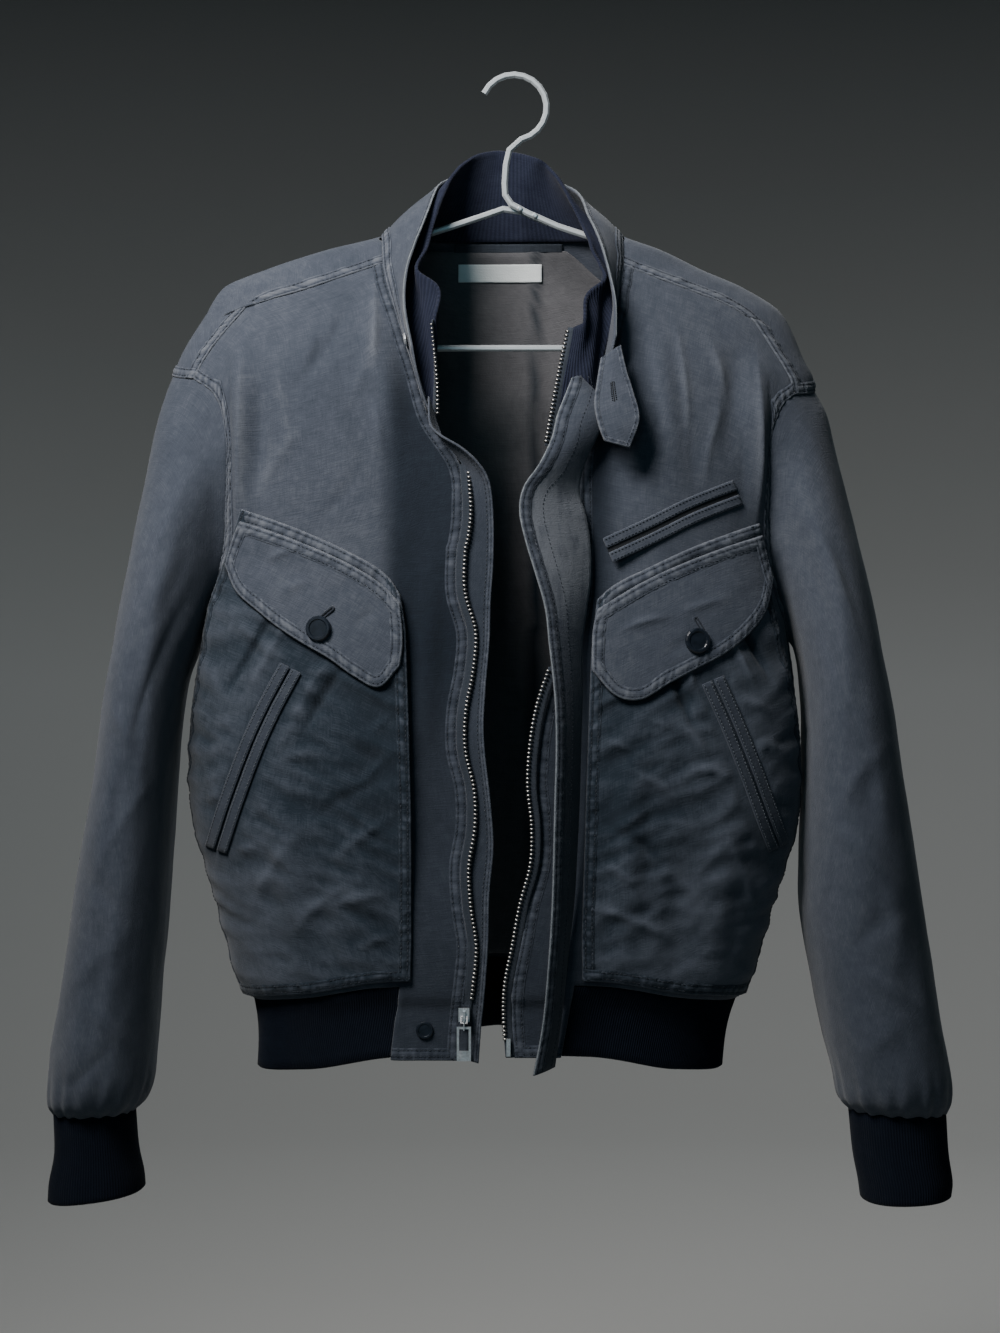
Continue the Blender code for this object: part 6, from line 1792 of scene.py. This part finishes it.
def dress_buttons():
    """A rim with a painted highlight, four holes of painted shade and the thread on each button."""
    for name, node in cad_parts.items():
        if not name.startswith("button"):
            continue
        top, out, radius = button_face(node)
        right = unit(np.cross(out, (0.0, 0.0, 1.0)))
        up = np.cross(right, out)
        turns = np.linspace(0, 2 * math.pi, 41)
        ring = np.cos(turns)[:, None] * right + np.sin(turns)[:, None] * up
        rim = [top + ring * radius * share + out * height for share, height in BUTTON_RIM]
        add_ring("buttons", "rims", np.array(rim), 0.0, out[None])
        holes = [top + right * across * radius * HOLE_ASIDE + up * rise * radius * HOLE_ASIDE
                 for across, rise in ((-1, -1), (1, -1), (1, 1), (-1, 1))]
        for hole in holes:
            slab("buttons", "hollow", hole + ring[:-1:5] * radius * HOLE_RADIUS + out * 0.05, out)
        for first, second in ((0, 2), (1, 3)):
            curve = np.linspace(holes[first], holes[second], 6)
            length = np.linalg.norm(holes[first] - holes[second]) * 0.98
            add_stitches("buttons", curve, np.repeat(out[None], 6, 0), 0.35, length, 0.35, "knots")


# A button's holes, as shares of its radius
HOLE_ASIDE, HOLE_RADIUS = 0.2, 0.105
# share of the button's radius, height above its face
BUTTON_RIM = ((0.64, -0.3), (0.72, 0.75), (0.86, 1.0), (0.97, 0.35), (0.99, -0.6), (0.8, -0.6))


def sew_closure():
    grid = refine(storm_flap_grid(), 10, 8)
    band("storm_flap", grid, "left", PIPED, seed=28, rope=0.12, depth=30, kind="piping")
    # These flaps' seams get the painted shade of their cloth
    seam("storm_flap", grid, "left", HEMMED, seed=23, rope=0.3, depth=30, tone=-0.5)
    stitches("storm_flap", grid, "left", (18.0,), 0.1, depth=33)
    grid = refine(wind_flap_grid(), 8, 8)
    seam("wind_flap", grid, "right", NARROW, ((1.5, 4.6), 0.25), seed=24, rope=0.2, depth=20,
         tone=-0.5)
    collar = refine(collar_grids()[0], 12, 6)
    seam("collar_stand", collar, "bottom", seed=25, rope=0.35, depth=20)
    seam("collar_stand", collar, "top", NARROW, ((1.5,), 0.25), seed=26, rope=0.15, depth=20)
    band("collar_stand", collar, "top", PIPED, seed=29, rope=0.1, depth=20, kind="piping")
    tab = refine(throat_grid(), 8, 10)
    for edge in ("left", "right", "bottom"):
        seam("throat_cloth", tab, edge, NARROW, ((2.4,), 0.3), depth=12, pitch=2.8, seed=27,
             rope=0.15, step=1.0)


# A tooth's corners, as shares of half its width, height and thickness, and its faces
TOOTH = ((-1, -1, -1), (1, -1, -1), (1, 1, -1), (-1, 1, -1),
         (-0.75, -0.7, 1), (0.75, -0.7, 1), (0.75, 0.7, 1), (-0.75, 0.7, 1))
TOOTH_FACES = ((0, 3, 2, 1), (4, 5, 6, 7), (0, 1, 5, 4), (1, 2, 6, 5), (2, 3, 7, 6), (3, 0, 4, 7))
TOOTH_SIZE = (3.4, 1.7, 1.9)
TOOTH_PITCH = 3.1
TEETH_END = {RIGHT: 0.905, LEFT: 0.965}    # share of the tape's length


def tooth_row(panel, grid, side, part=WHOLE):
    """Zip teeth along a tape's inner edge: small blocks with a raised middle."""
    curves, normals, _ = beside(grid, inner_edge(side), [0.4], 0.5, part, 8)
    curve = curves[0]
    at = run_length(curve)
    middle = np.arange(TOOTH_PITCH, at[-1] - TOOTH_PITCH / 2, TOOTH_PITCH)
    centre, out = follow(curve, at, middle), unit(follow(normals[0], at, middle))
    ahead = unit(follow(curve, at, middle + 0.5) - follow(curve, at, middle - 0.5))
    aside = np.cross(out, ahead)
    wide, tall, thick = (value / 2 for value in TOOTH_SIZE)
    corners = [centre + aside * wide * w + ahead * tall * t + out * (0.35 + thick * o)
               for w, t, o in TOOTH]
    copies(panel, "teeth", corners, TOOTH_FACES)


def make_teeth():
    for side in (RIGHT, LEFT):
        grid = refine(tape_grid(side), 8, 4)
        tooth_row("front_body_" + side, grid, side, (0.0, TEETH_END[side]))
        tooth_row("collar_knit", neck_tape_grid(side), side)


# ---- what is carried over

def finish_hardware():
    """Give the CAD pieces that still show their finish."""
    for name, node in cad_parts.items():
        if node.hide_render:
            continue
        kind = next((kind for kind in ("hanger", "button") if name.startswith(kind)), "metal")
        for slot in node.material_slots:
            slot.material = LOOKS[kind]


# ---- the cuts of the pieces

# Each piece's cut as it shows: width, length, flat area in square metres, how it is held,
# and the small pieces on it
CUTS = {
    "front_body_r": (0.21, 0.58, 0.113, "hung", ("zip_tape_r",)),
    "front_body_l": (0.21, 0.58, 0.103, "hung",
                     ("zip_tape_l", "chest_opening", "lip_chest_welt_upper",
                      "lip_chest_welt_lower")),
    "back_body": (0.49, 0.49, 0.222, "hung", ()),
    "yoke_body": (0.50, 0.21, 0.062, "hung", ()),
    "sleeve_body_r": (0.34, 0.55, 0.168, "hung", ()),
    "sleeve_body_l": (0.34, 0.55, 0.170, "hung", ()),
    "hem_knit": (0.98, 0.051, None, "stretched", ()),
    "cuff_knit_r": (0.25, 0.073, None, "gathered", ()),
    "cuff_knit_l": (0.25, 0.077, None, "gathered", ()),
    "collar_knit": (0.50, 0.085, 0.026, "stretched", ("neck_tape_r", "neck_tape_l")),
    "collar_stand": (0.50, 0.055, 0.019, "hung", ("throat_cloth",)),
    "patch_body_r": (0.19, 0.34, 0.060, "hung", ("lip_welt_r_front", "lip_welt_r_back")),
    "patch_body_l": (0.18, 0.34, 0.056, "hung", ("lip_welt_l_front", "lip_welt_l_back")),
    "flap_body_r": (0.15, 0.085, 0.0093, "hung", ()),
    "flap_body_l": (0.15, 0.085, 0.0105, "hung", ()),
    "wind_flap": (0.025, 0.50, 0.0094, "hung", ()),
    "storm_flap": (0.042, 0.54, 0.0186, "hung", ()),
    "lining_cloth": (0.30, 0.58, 0.170, "hung", ("neck_binding",)),
    "label_cloth": (0.066, 0.013, None, "hung", ()),
}


def declare_cuts():
    for name, (width, length, area, held, small) in CUTS.items():
        names = list(small) + sewing.get(name, [])
        if "throat_cloth" in small:
            names += sewing.get("throat_cloth", [])


# ---- the set

def sky(colour, strength):
    world = bpy.data.worlds.new("studio")
    bpy.context.scene.world = world
    world.use_nodes = True
    back = world.node_tree.nodes["Background"]
    back.inputs["Color"].default_value = (*colour, 1)
    back.inputs["Strength"].default_value = strength


def wall_look():
    """A grey studio wall, painted lighter towards its foot and darker above, as painted shade."""
    look, tree, shader = new_look("wall_look", Roughness=0.95, Specular_IOR_Level=0.1)
    parts = add(tree, "SeparateXYZ", "Z", {0: add(tree, "TexCoord", "Object")})
    colour = ramp(tree, spread(tree, parts, FLOOR, 1.3), WALL_COLOURS)
    tree.links.new(colour, shader.inputs["Base Color"])
    return look


FLOOR = -1.25
# Painted shade on the wall: pale at the floor, dark towards the top
WALL_COLOURS = ((0.0, (0.46, 0.45, 0.43)), (0.3, (0.45, 0.45, 0.44)), (1.0, (0.053, 0.060, 0.063)))
STAGE_SIDES = 96
# spot, target, size, power, colour, spread
LIGHTS = {
    "key": ((-0.76, -1.0, 0.78), (-0.12, 0, -0.10), (0.75, 0.6), 11.5, (1.0, 0.965, 0.95), 80),
    "fill": ((-0.25, -3.0, 0.3), (0, 0, -0.38), (1.8, 1.8), 7.7, (0.40, 0.82, 1.0), 180),
    "rim": ((1.0, 2.6, 2.0), (0, 0, -0.4), (1.2, 1.2), 22, (0.85, 0.94, 1.0), 180),
    "wall": ((0, 2.3, 2.6), (0, 4.3, -1.7), (3.5, 1.0), 29, (1.0, 1.0, 0.99), 180),
}
SKY = ((0.22, 0.52, 0.72), 0.07)
CAMERA_SPOT = (-0.0106, -2.4, -0.4473)
SENSOR, LENS = 36, 85.28


def make_stage():
    """A floor that curves up into a round wall."""
    profile = [(0.02, FLOOR), (1.5, FLOOR), (3.0, FLOOR)]
    for step in range(1, 13):
        turn = math.radians(90 * step / 12)
        profile.append((3.0 + 2.0 * math.sin(turn), FLOOR + 2.0 * (1 - math.cos(turn))))
    profile.append((5.0, 4.5))
    turns = 2 * math.pi * np.arange(STAGE_SIDES) / STAGE_SIDES
    points = [(radius * math.cos(turn), radius * math.sin(turn), height)
              for radius, height in profile for turn in turns]
    number = np.arange(len(points)).reshape(len(profile), STAGE_SIDES)
    number = np.concatenate([number, number[:, :1]], axis=1)
    quads = np.stack([number[:-1, :-1], number[:-1, 1:], number[1:, 1:], number[1:, :-1]], -1)
    quads = np.concatenate([quads.reshape(-1, 4), caps(STAGE_SIDES)])
    stage = make("studio", np.array(points) / MM, quads, wall_look())


def area_light(name, spot, target, size, power, colour, spread):
    lamp = bpy.data.lights.new(name, "AREA")
    lamp.shape = "RECTANGLE"
    lamp.size, lamp.size_y = size
    lamp.energy = power
    lamp.color = colour
    lamp.spread = math.radians(spread)
    light = bpy.data.objects.new(name, lamp)
    bpy.context.scene.collection.objects.link(light)
    light.location = spot
    way = np.array(target) - np.array(spot)
    from_up = math.acos(-way[2] / np.linalg.norm(way))
    light.rotation_euler = (from_up, 0, math.atan2(way[1], way[0]) - math.pi / 2)


def make_camera():
    lens = bpy.data.cameras.new("camera")
    lens.sensor_width = SENSOR
    lens.lens = LENS
    lens.clip_start = 0.05
    camera = bpy.data.objects.new("camera", lens)
    bpy.context.scene.collection.objects.link(camera)
    camera.location = CAMERA_SPOT
    camera.rotation_euler = (math.radians(90), 0, 0)
    bpy.context.scene.camera = camera


# ---- build


make_fronts()
make_back_and_yoke()
make_sleeves()
make_knits()
make_pockets()
make_closure()
make_inside()
sew_fronts()
sew_back_and_yoke()
sew_pockets()
sew_welts()
sew_buttonholes()
dress_buttons()
sew_closure()
make_teeth()
sewing = join_sewn()
finish_hardware()
declare_cuts()
make_stage()
for name, light in LIGHTS.items():
    area_light(name, *light)
sky(*SKY)
make_camera()
